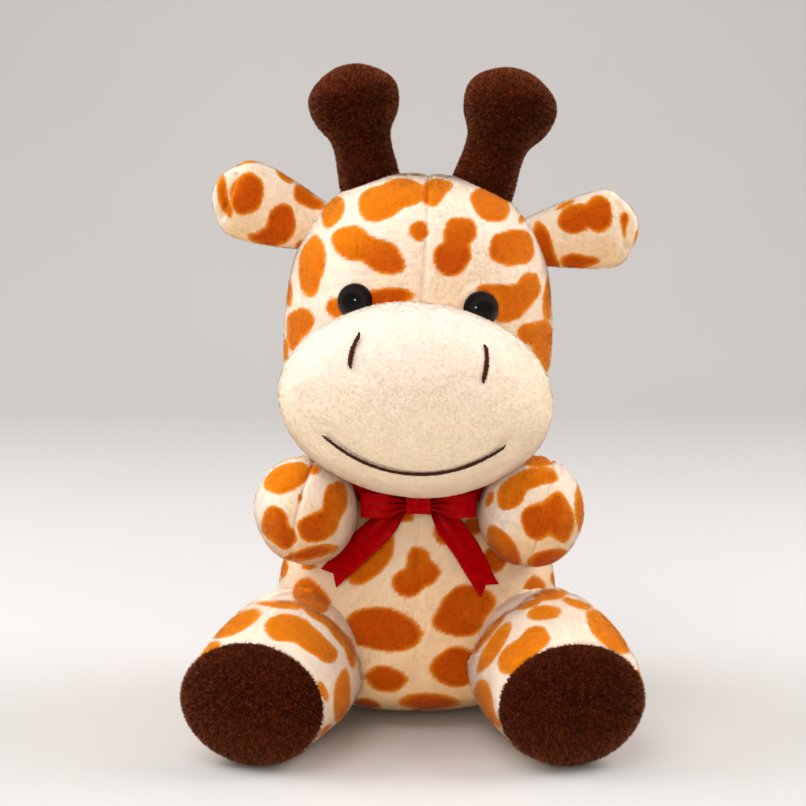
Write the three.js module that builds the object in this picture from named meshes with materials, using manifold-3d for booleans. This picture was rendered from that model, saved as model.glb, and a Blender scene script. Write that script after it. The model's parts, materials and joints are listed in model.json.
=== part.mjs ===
// A seated plush giraffe: stuffed fabric forms, safety eyes, embroidered face and a ribbon bow.
// Millimetres, +Z up. The giraffe faces -Y. The origin is the centre of its flat seat.

import * as THREE from 'three';
import { mergeVertices } from 'three/addons/utils/BufferGeometryUtils.js';
import Module from 'manifold-3d';

const wasm = await Module();
wasm.setup();
const { Manifold, Mesh: SolidMesh } = wasm;

// Sizes shared by every piece
const clearance = 0.3;
const fabricWall = 2;
const squash = 0.5;
const overrun = 4;
const sweepGap = 0.7;
const stuffingInset = fabricWall + clearance;
const finePoints = { around: 20, rings: 14 };
const ovalPoints = { around: 24, rings: 12 };
const limbPoints = { around: 16, rings: 11 };
const smallPoints = { around: 12, rings: 9 };
const innerPoints = { around: 10, rings: 6 };
const ballPoints = { around: 8, rings: 5 };

// Torso: a pear that rests on the floor. Widths are half widths at even steps from seat to neck.
const torso = {
  height: 106,
  halfWidths: [47, 56.5, 59, 58, 55, 47.5, 39.5, 33],
  depthShare: 0.9,
  seatReach: 14,
  neckReach: 7,
  seatPower: 2.4,
  neckPower: 2,
};
const pelletBag = { halfWidth: 36, halfDepth: 32, height: 24, endReach: 12, floorGap: 0.6 };

// Neck: a plug of stuffing whose ball carries the head
const neck = { ballRadius: 18, stemRadius: 13, stemLength: 26, pivotHeight: 100 };
const headTurn = { low: -8, high: 8 };
const headNod = { low: 0, high: 12 };

// Head, measured from the neck pivot and rolled with it
const headRollDeg = 3.5;
const head = {
  sideShift: -3.1,
  depthShift: -2,
  lowest: -12,
  widest: 50,
  top: 117,
  halfWidth: 54.8,
  halfFront: 49,
  halfBack: 50,
  topPower: 2.45,
  lowPower: 2.2,
};

// Muzzle: a wide stuffed oval on the front of the head
const muzzle = {
  height: 31.3,
  widestAt: 50,
  halfWidth: 52.2,
  halfHeight: 37,
  backReach: 27,
  frontReach: 35,
  frontPower: 2.35,
  backPower: 2,
};

// Face
const eye = {
  radius: 7,
  dome: 5.4,
  rim: 1.2,
  sink: 1,
  shankRadius: 2,
  shankLength: 11,
  shankChamfer: 0.6,
  washerRadius: 8,
  washerThickness: 1.4,
  sideways: 23.9,
  sideShift: -1.3,
  height: 67.3,
  aimSideShare: 0.6,
};
const stitch = { radius: 0.8, sides: 6 };
const nostril = { sideways: 23.6, length: 12.4, bow: 0.9, steps: 8 };
const mouth = { halfWidth: 33.4, lowest: 8.7, rise: 10.8, power: 2.1, steps: 22 };

// Horns: a stem with a round knob
const horn = {
  sideways: 22.6,
  rootHeight: 110.5,
  leanDeg: 15,
  halfWidths: [12.6, 12.4, 12, 11.8, 12.8, 16.6, 18.3, 17.2, 14],
  tipReach: 12,
  tipPower: 2.1,
  ballRadius: 9,
  rootDepth: 8,
  bendDeg: 10,
};

// Ears: flat stuffed leaves that point sideways and a little up
const ear = {
  sideways: 44.5,
  length: 43.2,
  halfHeights: [9.5, 11.3, 13.8, 15.6, 15.8, 13],
  halfThicknesses: [6.8, 7.4, 8, 8, 7.2, 5.6],
  tipReach: 13,
  tipPower: 2.1,
  ballRadius: 4.4,
  rootDepth: 6,
  bendDeg: 12,
};

// Arms: short limbs held forward under the chin
const arm = {
  length: 65.6,
  halfWidths: [14, 17, 19.2, 19.7, 18.8],
  halfHeights: [14, 17.5, 20.6, 21.5, 20.5],
  tipReach: 21,
  tipPower: 2.15,
  ballRadius: 9.4,
  rootDepth: 8,
  rootReach: 12,
  spreadDeg: 35,
};

// Legs: thick limbs that lie on the floor and splay apart
const leg = {
  length: 68.4,
  halfWidths: [21, 26, 28.2, 28.8, 28.2, 27.2],
  halfAbove: [21, 27, 29.6, 29.3, 26.6, 22.6],
  halfBelow: [20, 26.2, 28.1, 27, 25.2, 23.3],
  tipReach: 8,
  ballRadius: 15,
  rootDepth: 10,
  rootReach: 14,
  outDeg: 15,
  inDeg: 5,
};
const sole = { wrap: 6.5, thickness: 6, growth: 0.6, edgeReach: 11 };

// Tail: a short cord with a tuft, behind the seat
const tail = {
  height: 34,
  dropDeg: 32,
  radius: 4.6,
  length: 27,
  tuftRadius: 7,
  tuftLength: 20,
  tuftOverlap: 2,
  ballRadius: 4.2,
  rootDepth: 1,
  swingDeg: 25,
};

// Ribbon: one width, tied round the neck in a bow
const ribbon = {
  width: 10,
  thickness: 0.8,
  bandLow: 88.4,
  bandSteps: 40,
  knotWidth: 9.6,
  knotHeight: 9,
  knotDepth: 4.6,
  knotBevel: 1.2,
  knotDrop: 4,
  loopLength: 18.2,
  loopDepth: 6.4,
  loopPinchShare: 0.5,
  loopPinchReach: 9,
  loopSteps: 20,
  tailLength: 35,
  tailTopWidth: 6,
  tailFlareShare: 0.25,
  tailNotch: 4,
  tailSteps: 9,
  tailSideways: 9.2,
  tailTop: 87,
  tailLift: 0.6,
  tailRise: 3,
};

// What differs between the two sides, as in any hand-stuffed toy
const sides = { left: -1, right: 1 };
const own = {
  left: {
    hornLength: 48.8,
    earHeight: 93,
    earLiftDeg: 16.5,
    nostrilHeight: 50.4,
    shoulder: new THREE.Vector3(-40, -8, 78),
    paw: new THREE.Vector3(-45, -72, 93.8),
    hip: new THREE.Vector3(-44, -29, 28),
    foot: new THREE.Vector3(-62.6, -95, 23.8),
    ribbonLeanDeg: 44.5,
  },
  right: {
    hornLength: 51.2,
    earHeight: 92,
    earLiftDeg: 13.5,
    nostrilHeight: 49.2,
    shoulder: new THREE.Vector3(40, -8, 78),
    paw: new THREE.Vector3(45.8, -72, 92.8),
    hip: new THREE.Vector3(43, -29, 28),
    foot: new THREE.Vector3(56.6, -95, 23.8),
    ribbonLeanDeg: 33,
  },
};

// Colours
const plush = { roughness: 0.95, metalness: 0 };
const spottedPlush = { color: 0xf3cfa0, ...plush };
const muzzlePlush = { color: 0xf7dabc, ...plush };
const brownPlush = { color: 0x3c140a, ...plush };
const fibre = { color: 0xf4f2ec, ...plush };
const pelletCloth = { color: 0xd9d4c8, ...plush };
const eyePlastic = { color: 0x080607, roughness: 0.08, metalness: 0 };
const washerPlastic = { color: 0xe8e6e0, roughness: 0.5, metalness: 0 };
const thread = { color: 0x3a1a12, roughness: 0.8, metalness: 0 };
const satin = { color: 0xa10a12, roughness: 0.4, metalness: 0 };

const { degToRad, lerp } = THREE.MathUtils;
const up = new THREE.Vector3(0, 0, 1);
const forward = new THREE.Vector3(0, -1, 0);

// Solids

function solidOf(geometry) {
  const bare = geometry.clone();
  bare.deleteAttribute('normal');
  bare.deleteAttribute('uv');
  const merged = mergeVertices(bare);
  const points = merged.getAttribute('position').array;
  const corners = [];
  let volume = 0;
  for (let k = 0; k < merged.index.count; k += 3) {
    const [a, b, c] = [0, 1, 2].map((j) => merged.index.getX(k + j));
    if (a === b || b === c || c === a) continue;
    corners.push(a, b, c);
    const [p, q, r] = [a, b, c].map((j) => new THREE.Vector3().fromArray(points, 3 * j));
    volume += p.dot(q.cross(r));
  }
  if (volume < 0) corners.reverse();
  const vertProperties = new Float32Array(points);
  const triVerts = new Uint32Array(corners);
  return new Manifold(new SolidMesh({ numProp: 3, vertProperties, triVerts }));
}

function geometryOf(solid) {
  const mesh = solid.getMesh();
  const geometry = new THREE.BufferGeometry();
  geometry.setAttribute('position', new THREE.BufferAttribute(new Float32Array(mesh.vertProperties), 3));
  geometry.setIndex(new THREE.BufferAttribute(new Uint32Array(mesh.triVerts), 1));
  geometry.computeVertexNormals();
  return geometry;
}

function ball(radius) {
  return solidOf(new THREE.SphereGeometry(radius, ballPoints.around, ballPoints.rings));
}

// A socket's facets lie outside the ball, so the ball can turn in it
function socket(radius) {
  const slack = Math.cos(Math.PI / ballPoints.around) * Math.cos(Math.PI / ballPoints.rings / 2);
  return ball((radius + clearance) / slack);
}

// A pole along +Z from low to high
function rod(radius, low, high) {
  const geometry = new THREE.CylinderGeometry(radius, radius, high - low, smallPoints.around);
  geometry.rotateX(Math.PI / 2);
  geometry.translate(0, 0, (low + high) / 2);
  return solidOf(geometry);
}

// A hole's facets lie outside the rod, so the rod can turn in it
function bore(radius, low, high) {
  return rod((radius + clearance) / Math.cos(Math.PI / smallPoints.around), low, high);
}

function moved(solid, from, to) {
  const matrix = to.matrixWorld.clone().invert().multiply(from.matrixWorld);
  return solid.transform(matrix.elements);
}

// A solid at several angles about an axis through the frame's origin, as one solid
function swept(solid, axis, angles) {
  const copies = angles.map((angle) => {
    const turn = new THREE.Matrix4().makeRotationAxis(axis, degToRad(angle));
    return solid.transform(turn.elements);
  });
  return Manifold.union(copies);
}

function steps(low, high, count) {
  return Array.from({ length: count + 1 }, (_, k) => lerp(low, high, k / count));
}

// Stuffed forms: half sizes at even steps along an axis, closed by a dome at each end

function evenly(values) {
  const curve = new THREE.SplineCurve(values.map((value, k) => new THREE.Vector2(k, value)));
  return (share) => curve.getPoint(share).y;
}

function dome(distance, reach, power) {
  if (distance >= reach) return 1;
  const short = 1 - Math.max(distance, 0) / reach;
  return (1 - short ** power) ** (1 / power);
}

// The half sizes of a form at a distance along its axis: sideways, towards +Y and towards -Y
function section(form, at, inset = 0) {
  const [start, end] = [form.start + inset, form.end - inset];
  const share = THREE.MathUtils.clamp((at - form.start) / (form.end - form.start), 0, 1);
  const rounding =
    dome(at - start, form.startReach, form.startPower ?? 2) *
    dome(end - at, form.endReach, form.endPower ?? 2);
  return ['half', 'plus', 'minus'].map((side) => (form[side](share) - inset) * rounding);
}

function stuffed(form, inset = 0, points = form.points, widen = 1) {
  const [start, end] = [form.start + inset, form.end - inset];
  const { around, rings } = points;
  const positions = [0, 0, start];
  for (let ring = 1; ring < rings; ring++) {
    const at = lerp(start, end, 0.5 - 0.5 * Math.cos((Math.PI * ring) / rings));
    const [half, plus, minus] = section(form, at, inset).map((size) => size * widen);
    for (let k = 0; k < around; k++) {
      const turn = (2 * Math.PI * k) / around;
      const y = Math.sin(turn) * (Math.sin(turn) > 0 ? plus : minus);
      positions.push(half * Math.cos(turn), y, at);
    }
  }
  positions.push(0, 0, end);
  const last = positions.length / 3 - 1;
  const index = [];
  for (let k = 0; k < around; k++) {
    const next = (k + 1) % around;
    index.push(0, 1 + next, 1 + k);
    for (let ring = 0; ring < rings - 2; ring++) {
      const [low, high] = [1 + ring * around, 1 + (ring + 1) * around];
      index.push(low + k, low + next, high + next, low + k, high + next, high + k);
    }
    const rim = last - around;
    index.push(rim + k, rim + next, last);
  }
  const geometry = new THREE.BufferGeometry();
  geometry.setAttribute('position', new THREE.Float32BufferAttribute(positions, 3));
  geometry.setIndex(index);
  return solidOf(geometry).translate(form.shift ?? [0, 0, 0]);
}

// A form grown to lie all round the real one, to cut what moves beside it
function reachOf(form, cover = 0) {
  return stuffed(form, -sweepGap - cover, form.points, 1 / Math.cos(Math.PI / form.points.around));
}

// Where the +Z end of a form lies over a point of its cross section
function reachOver(form, x, y) {
  let [inside, outside] = [form.end - form.endReach, form.end];
  for (let step = 0; step < 30; step++) {
    const middle = (inside + outside) / 2;
    const [half, plus, minus] = section(form, middle);
    const spread = (x / half) ** 2 + (y / (y > 0 ? plus : minus)) ** 2;
    if (spread < 1) inside = middle;
    else outside = middle;
  }
  return inside;
}

// How far the -Y side of an upright form lies from its axis plane
function frontOf(form, x, z) {
  const [half, , minus] = section(form, z);
  return -minus * Math.sqrt(Math.max(0, 1 - (x / half) ** 2));
}

// Frames: each is a group, and its origin is the pivot of what it carries

const giraffe = new THREE.Group();

function frame(parent, position, direction = up, reference = forward) {
  const group = new THREE.Group();
  const z = direction.clone().normalize();
  const x = new THREE.Vector3().crossVectors(z, reference).normalize();
  const y = new THREE.Vector3().crossVectors(z, x);
  group.quaternion.setFromRotationMatrix(new THREE.Matrix4().makeBasis(x, y, z));
  group.position.copy(position);
  parent.add(group);
  group.updateWorldMatrix(true, false);
  return group;
}

// A limb's frame: seen from the front its +X points to the viewer's right and its +Y up
function limbFrame(parent, position, direction) {
  return frame(parent, position, direction, up.clone().negate());
}

function add(group, name, solid, material) {
  const mesh = new THREE.Mesh(geometryOf(solid), new THREE.MeshStandardMaterial(material));
  mesh.name = name;
  group.add(mesh);
}

const room = new THREE.BoxGeometry(10 * torso.height, 10 * torso.height, torso.height);
const floor = solidOf(room.translate(0, 0, -torso.height / 2));

// Forms

const torsoWidth = evenly(torso.halfWidths);
const torsoDepth = (share) => torsoWidth(share) * torso.depthShare;
const torsoForm = {
  start: -squash,
  end: torso.height,
  half: torsoWidth,
  plus: torsoDepth,
  minus: torsoDepth,
  startReach: torso.seatReach,
  endReach: torso.neckReach,
  startPower: torso.seatPower,
  endPower: torso.neckPower,
  points: finePoints,
};

const headForm = {
  start: head.lowest,
  end: head.top,
  half: () => head.halfWidth,
  plus: () => head.halfBack,
  minus: () => head.halfFront,
  startReach: head.widest - head.lowest,
  endReach: head.top - head.widest,
  startPower: head.lowPower,
  endPower: head.topPower,
  points: finePoints,
  shift: [head.sideShift, head.depthShift, 0],
};

const muzzleForm = {
  start: muzzle.widestAt - muzzle.backReach,
  end: muzzle.widestAt + muzzle.frontReach,
  half: () => muzzle.halfWidth,
  plus: () => muzzle.halfHeight,
  minus: () => muzzle.halfHeight,
  startReach: muzzle.backReach,
  endReach: muzzle.frontReach,
  startPower: muzzle.backPower,
  endPower: muzzle.frontPower,
  points: ovalPoints,
};

const hornForm = (length) => ({
  start: -horn.rootDepth,
  end: length,
  half: evenly(horn.halfWidths),
  plus: evenly(horn.halfWidths),
  minus: evenly(horn.halfWidths),
  startReach: horn.rootDepth / 2,
  endReach: horn.tipReach,
  endPower: horn.tipPower,
  points: smallPoints,
});

const earForm = {
  start: -ear.rootDepth,
  end: ear.length,
  half: evenly(ear.halfThicknesses),
  plus: evenly(ear.halfHeights),
  minus: evenly(ear.halfHeights),
  startReach: ear.rootDepth / 2,
  endReach: ear.tipReach,
  endPower: ear.tipPower,
  points: smallPoints,
};

const armForm = {
  start: -arm.rootDepth,
  end: arm.length,
  half: evenly(arm.halfWidths),
  plus: evenly(arm.halfHeights),
  minus: evenly(arm.halfHeights),
  startReach: arm.rootReach,
  endReach: arm.tipReach,
  endPower: arm.tipPower,
  points: limbPoints,
};

const legForm = {
  start: -leg.rootDepth,
  end: leg.length,
  half: evenly(leg.halfWidths),
  plus: evenly(leg.halfAbove),
  minus: evenly(leg.halfBelow),
  startReach: leg.rootReach,
  endReach: leg.tipReach,
  points: limbPoints,
};

const soleForm = {
  ...legForm,
  start: legForm.end - sole.wrap,
  end: legForm.end + sole.thickness,
  half: () => leg.halfWidths.at(-1) + sole.growth,
  plus: () => leg.halfAbove.at(-1) + sole.growth,
  minus: () => leg.halfBelow.at(-1) + sole.growth,
  startReach: clearance,
  endReach: sole.edgeReach,
  points: { around: limbPoints.around, rings: smallPoints.rings },
};

// Frames of the moving bodies

const neckFrame = frame(giraffe, new THREE.Vector3(0, 0, neck.pivotHeight));
const headFrame = new THREE.Group();
headFrame.rotation.y = degToRad(headRollDeg);
neckFrame.add(headFrame);
headFrame.updateWorldMatrix(true, false);

const muzzleFrame = limbFrame(
  headFrame,
  new THREE.Vector3(head.sideShift, head.depthShift, muzzle.height),
  forward,
);

const limbFrames = {};
for (const [name, side] of Object.entries(sides)) {
  const { shoulder, paw, hip, foot, earHeight, earLiftDeg } = own[name];
  const [lean, lift] = [side * degToRad(horn.leanDeg), degToRad(earLiftDeg)];
  const onHead = (sideways, height) =>
    new THREE.Vector3(head.sideShift + side * sideways, head.depthShift, height);
  const hornWay = new THREE.Vector3(Math.sin(lean), 0, Math.cos(lean));
  const earWay = new THREE.Vector3(side * Math.cos(lift), 0, Math.sin(lift));
  limbFrames[name] = {
    arm: limbFrame(giraffe, shoulder, paw.clone().sub(shoulder)),
    leg: limbFrame(giraffe, hip, foot.clone().sub(hip)),
    horn: frame(headFrame, onHead(horn.sideways, horn.rootHeight), hornWay),
    ear: limbFrame(headFrame, onHead(ear.sideways, earHeight), earWay),
  };
}

const tailDrop = degToRad(tail.dropDeg);
const tailFrame = limbFrame(
  giraffe,
  new THREE.Vector3(0, -frontOf(torsoForm, 0, tail.height) - tail.rootDepth, tail.height),
  new THREE.Vector3(0, Math.cos(tailDrop), -Math.sin(tailDrop)),
);

// Room that a carrier takes as its limb moves, seen from the limb
function carrierSweep(carrier, carrierFrame, limb, axis, low, high) {
  const here = moved(carrier, carrierFrame, limb);
  const towards = axis.clone().transformDirection(limb.matrixWorld.clone().invert());
  return swept(here, towards, steps(-high, -low, 2));
}

// A skin with an open root, and its filling, which reaches through the root as a ball
function stuffedPair(form, cutters, ballRadius) {
  const taken = Manifold.union(cutters);
  const root = ball(ballRadius);
  const skin = stuffed(form)
    .subtract(stuffed(form, fabricWall, innerPoints))
    .subtract(taken)
    .subtract(socket(ballRadius));
  const filling = stuffed(form, stuffingInset, innerPoints).subtract(taken).add(root);
  return { skin, filling };
}

// The largest of the bodies that a cut leaves
function largest(solid) {
  const parts = solid.decompose();
  return parts.reduce((best, part) => (part.volume() > best.volume() ? part : best));
}

const torsoOuter = stuffed(torsoForm);
const torsoReach = reachOf(torsoForm);
const bandTop = ribbon.bandLow + ribbon.width;
const bandSlab = rod(2 * torso.height, ribbon.bandLow - clearance, bandTop + clearance);
const ribbonReach = reachOf(torsoForm, ribbon.thickness + clearance);
const torsoRoom = torsoReach.add(ribbonReach.intersect(bandSlab));
const headOuter = stuffed(headForm);
const headReach = reachOf(headForm);
const headSkinReach = stuffed(headForm, -clearance);

// Eyes

function eyeParts() {
  const { radius, dome: height, rim, sink, shankRadius, shankLength, shankChamfer } = eye;
  const profile = [new THREE.Vector2(0, -shankLength)];
  profile.push(new THREE.Vector2(shankRadius - shankChamfer, -shankLength));
  profile.push(new THREE.Vector2(shankRadius, shankChamfer - shankLength));
  profile.push(new THREE.Vector2(shankRadius, -sink));
  profile.push(new THREE.Vector2(radius, -sink));
  for (const share of steps(0, 1, 7)) {
    const turn = (share * Math.PI) / 2;
    profile.push(new THREE.Vector2(radius * Math.cos(turn), rim - sink + height * Math.sin(turn)));
  }
  profile.at(-1).x = 0;
  const upright = (geometry) => solidOf(geometry.rotateX(Math.PI / 2));
  const button = upright(new THREE.LatheGeometry(profile, smallPoints.around));
  const washerAt = -fabricWall - clearance;
  const washer = rod(eye.washerRadius, washerAt - eye.washerThickness, washerAt)
    .subtract(rod(shankRadius + clearance, -shankLength, 0));
  const seat = rod(radius + clearance, -sink - clearance, radius)
    .add(rod(shankRadius + clearance, -shankLength - clearance, 0));
  const washerLow = washerAt - eye.washerThickness - clearance;
  const washerRoom = rod(eye.washerRadius + clearance, washerLow, washerAt + clearance);
  return { button, washer, seat, washerRoom };
}

const eyes = eyeParts();
const eyeFrames = {};
for (const [name, side] of Object.entries(sides)) {
  const x = eye.sideShift + side * eye.sideways;
  const y = frontOf(headForm, x, eye.height);
  const outward = new THREE.Vector3((eye.aimSideShare * x) / head.halfWidth, -1, 0);
  const place = new THREE.Vector3(head.sideShift + x, head.depthShift + y, eye.height);
  eyeFrames[name] = limbFrame(headFrame, place, outward);
}
const eyeFrameList = Object.values(eyeFrames);
const eyeSeats = Manifold.union(eyeFrameList.map((place) => moved(eyes.seat, place, headFrame)));
const washerRooms = Manifold.union(eyeFrameList.map((place) => moved(eyes.washerRoom, place, headFrame)));

// Torso

const sockets = [socket(neck.ballRadius).translate([0, 0, neck.pivotHeight])];
const stemFoot = neck.pivotHeight - neck.stemLength - clearance;
sockets.push(bore(neck.stemRadius, stemFoot, torso.height + overrun));
for (const { arm: armFrame, leg: legFrame } of Object.values(limbFrames)) {
  sockets.push(moved(socket(arm.ballRadius), armFrame, giraffe));
  sockets.push(moved(socket(leg.ballRadius), legFrame, giraffe));
}
sockets.push(moved(socket(tail.ballRadius), tailFrame, giraffe));
const torsoSockets = Manifold.union(sockets);

const bagFloor = fabricWall + pelletBag.floorGap;
const bagForm = {
  start: bagFloor,
  end: bagFloor + pelletBag.height,
  half: () => pelletBag.halfWidth,
  plus: () => pelletBag.halfDepth,
  minus: () => pelletBag.halfDepth,
  startReach: pelletBag.endReach,
  endReach: pelletBag.endReach,
  points: innerPoints,
};
const bagRoom = stuffed(bagForm, -clearance);
const torsoFilling = stuffed(torsoForm, stuffingInset + squash, innerPoints);
const bagSolid = stuffed(bagForm).intersect(torsoFilling);
const bagWay = Manifold.union(steps(0, -bagFloor, 4).map((drop) => bagRoom.translate([0, 0, drop])));

add(
  giraffe,
  'body_skin',
  torsoOuter
    .subtract(stuffed(torsoForm, fabricWall + squash, innerPoints))
    .subtract(torsoSockets)
    .subtract(floor),
  spottedPlush,
);
add(giraffe, 'body_stuffing', largest(torsoFilling.subtract(torsoSockets).subtract(bagWay)), fibre);
add(giraffe, 'pellet_bag', bagSolid, pelletCloth);

// Neck

const neckPlug = rod(neck.stemRadius, -neck.stemLength, 0).add(ball(neck.ballRadius));
add(neckFrame, 'neck_plug', neckPlug, fibre);

// Head: its underside clears the torso and the ribbon at every turn and nod

const torsoFromNeck = moved(torsoRoom, giraffe, neckFrame);
const headCutters = [];
for (const nod of steps(headNod.low, headNod.high, 2)) {
  for (const turn of steps(headTurn.low, headTurn.high, 2)) {
    const nodded = new THREE.Matrix4().makeRotationX(degToRad(nod));
    const turned = new THREE.Matrix4().makeRotationZ(-degToRad(turn));
    const seen = torsoFromNeck.transform(turned.elements).transform(nodded.elements);
    headCutters.push(moved(seen, neckFrame, headFrame));
  }
}
headCutters.push(socket(neck.ballRadius));
const neckRoom = Manifold.union(headCutters);

const rootRooms = [];
for (const { horn: hornFrame, ear: earFrame } of Object.values(limbFrames)) {
  rootRooms.push(moved(socket(horn.ballRadius), hornFrame, headFrame));
  rootRooms.push(moved(socket(ear.ballRadius), earFrame, headFrame));
}
const headSockets = Manifold.union(rootRooms);

add(
  headFrame,
  'head_skin',
  largest(
    headOuter
      .subtract(stuffed(headForm, fabricWall, innerPoints))
      .subtract(neckRoom)
      .subtract(headSockets)
      .subtract(eyeSeats)
      .subtract(washerRooms),
  ),
  spottedPlush,
);
add(
  headFrame,
  'head_stuffing',
  largest(
    stuffed(headForm, stuffingInset, innerPoints)
      .subtract(neckRoom)
      .subtract(headSockets)
      .subtract(eyeSeats)
      .subtract(washerRooms),
  ),
  fibre,
);

// Muzzle: open at the back, where it is sewn to the head

const muzzleCut = moved(headSkinReach.add(eyeSeats), headFrame, muzzleFrame);
add(
  muzzleFrame,
  'muzzle_skin',
  largest(stuffed(muzzleForm).subtract(stuffed(muzzleForm, fabricWall, innerPoints)).subtract(muzzleCut)),
  muzzlePlush,
);
add(
  muzzleFrame,
  'muzzle_stuffing',
  largest(stuffed(muzzleForm, stuffingInset, innerPoints).subtract(muzzleCut)),
  fibre,
);

for (const [name, place] of Object.entries(eyeFrames)) {
  add(place, `${name}_eye`, eyes.button, eyePlastic);
  add(place, `${name}_eye_washer`, eyes.washer, washerPlastic);
}

// Stitches: tubes that lie on the front of the muzzle

function stitchAlong(places, count) {
  const lift = stitch.radius + clearance;
  const points = places.map(([x, y]) => new THREE.Vector3(x, y, reachOver(muzzleForm, x, y)));
  const centre = new THREE.Vector3(0, 0, muzzleForm.end - muzzleForm.endReach);
  for (const point of points) {
    const steepness = new THREE.Vector3().subVectors(point, centre);
    steepness.x /= muzzle.halfWidth ** 2;
    steepness.y /= muzzle.halfHeight ** 2;
    steepness.z /= muzzle.frontReach ** 2;
    point.addScaledVector(steepness.normalize(), lift);
  }
  const dots = steps(0, 2 * Math.PI, stitch.sides).slice(0, -1);
  const unit = dots.map((turn) => new THREE.Vector2(Math.cos(turn), Math.sin(turn)));
  const ring = unit.map((dot) => dot.multiplyScalar(stitch.radius));
  return solidOf(
    new THREE.ExtrudeGeometry(new THREE.Shape(ring), {
      steps: count,
      extrudePath: new THREE.CatmullRomCurve3(points),
    }),
  );
}

const mouthPlaces = steps(-1, 1, 8).map((share) => [
  share * mouth.halfWidth,
  mouth.lowest - muzzle.height + mouth.rise * Math.abs(share) ** mouth.power,
]);
add(muzzleFrame, 'mouth_stitch', stitchAlong(mouthPlaces, mouth.steps), thread);

for (const [name, side] of Object.entries(sides)) {
  const places = steps(-1, 1, 4).map((share) => [
    side * (nostril.sideways + nostril.bow * (1 - share * share)),
    own[name].nostrilHeight - muzzle.height + (share * nostril.length) / 2,
  ]);
  add(muzzleFrame, `${name}_nostril_stitch`, stitchAlong(places, nostril.steps), thread);
}

// Horns and ears bend on the head

const across = new THREE.Vector3(0, 1, 0).transformDirection(headFrame.matrixWorld);
for (const [name, frames] of Object.entries(limbFrames)) {
  const hornRoom = carrierSweep(headReach, headFrame, frames.horn, across, -horn.bendDeg, horn.bendDeg);
  const hornPair = stuffedPair(hornForm(own[name].hornLength), [hornRoom], horn.ballRadius);
  add(frames.horn, `${name}_horn_skin`, largest(hornPair.skin), brownPlush);
  add(frames.horn, `${name}_horn_stuffing`, hornPair.filling, fibre);

  const earRoom = carrierSweep(headReach, headFrame, frames.ear, across, -ear.bendDeg, ear.bendDeg);
  const earPair = stuffedPair(earForm, [earRoom], ear.ballRadius);
  add(frames.ear, `${name}_ear_skin`, largest(earPair.skin), spottedPlush);
  add(frames.ear, `${name}_ear_stuffing`, earPair.filling, fibre);
}

// Arms spread sideways, beside the bow and under a muzzle that turns with the head

const bowHeight = ribbon.bandLow + ribbon.width / 2 - ribbon.knotDrop;
const bowFoot = bowHeight - ribbon.knotHeight / 2;
const bowFront = frontOf(torsoForm, 0, bowFoot) - ribbon.tailLift - 2 * ribbon.thickness - 3 * clearance;

function loopRoom(side) {
  const [halfLength, halfDepth] = [ribbon.loopLength / 2, ribbon.loopDepth / 2];
  const sideways = ribbon.knotWidth / 2 + clearance + halfLength;
  return rod(1, -ribbon.width / 2 - clearance, ribbon.width / 2 + clearance)
    .scale([halfLength + 2 * clearance, halfDepth + 2 * clearance, 1])
    .translate([side * sideways, bowFront - halfDepth, bowHeight]);
}

const muzzleReach = moved(reachOf(muzzleForm), muzzleFrame, neckFrame);
const chin = swept(
  muzzleReach.add(moved(headReach, headFrame, neckFrame)),
  up,
  steps(headTurn.low, headTurn.high, 2),
);
for (const [name, side] of Object.entries(sides)) {
  const place = limbFrames[name].arm;
  const outward = up.clone().multiplyScalar(side);
  const shoulderRoom = carrierSweep(ribbonReach, giraffe, place, outward, 0, arm.spreadDeg);
  const chinRoom = moved(chin, neckFrame, place);
  const bowRoom = moved(loopRoom(side), giraffe, place);
  const pair = stuffedPair(armForm, [shoulderRoom, chinRoom, bowRoom], arm.ballRadius);
  add(place, `${name}_arm_skin`, largest(pair.skin), spottedPlush);
  add(place, `${name}_arm_stuffing`, pair.filling, fibre);
}

// Legs spread sideways on the floor, and each ends in a brown sole

for (const [name, side] of Object.entries(sides)) {
  const place = limbFrames[name].leg;
  const outward = up.clone().multiplyScalar(side);
  const hipRoom = carrierSweep(torsoReach, giraffe, place, outward, -leg.inDeg, leg.outDeg);
  const ground = moved(floor, giraffe, place);
  const pair = stuffedPair(legForm, [hipRoom, ground], leg.ballRadius);
  add(place, `${name}_leg_skin`, largest(pair.skin), spottedPlush);
  add(place, `${name}_leg_stuffing`, pair.filling, fibre);
  const patch = stuffed(soleForm).subtract(stuffed(legForm, -clearance)).subtract(ground);
  add(place, `${name}_sole`, largest(patch), brownPlush);
}

// Tail

const tailForm = {
  start: 0,
  end: tail.length,
  half: () => tail.radius,
  plus: () => tail.radius,
  minus: () => tail.radius,
  startReach: tail.radius,
  endReach: tail.radius,
  points: innerPoints,
};
const tuftForm = {
  start: tail.length - tail.tuftOverlap,
  end: tail.length - tail.tuftOverlap + tail.tuftLength,
  half: () => tail.tuftRadius,
  plus: () => tail.tuftRadius,
  minus: () => tail.tuftRadius,
  startReach: tail.tuftRadius,
  endReach: tail.tuftLength - tail.tuftRadius,
  points: innerPoints,
};
const tailRoom = carrierSweep(torsoReach, giraffe, tailFrame, up, -tail.swingDeg, tail.swingDeg);
const tailCord = stuffed(tailForm).subtract(tailRoom).add(ball(tail.ballRadius));
add(tailFrame, 'tail_cord', tailCord, spottedPlush);
add(tailFrame, 'tail_tuft', stuffed(tuftForm).subtract(stuffed(tailForm, -clearance)), brownPlush);

// Ribbon: a band round the neck, a knot, two loops and two tails with notched ends

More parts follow.
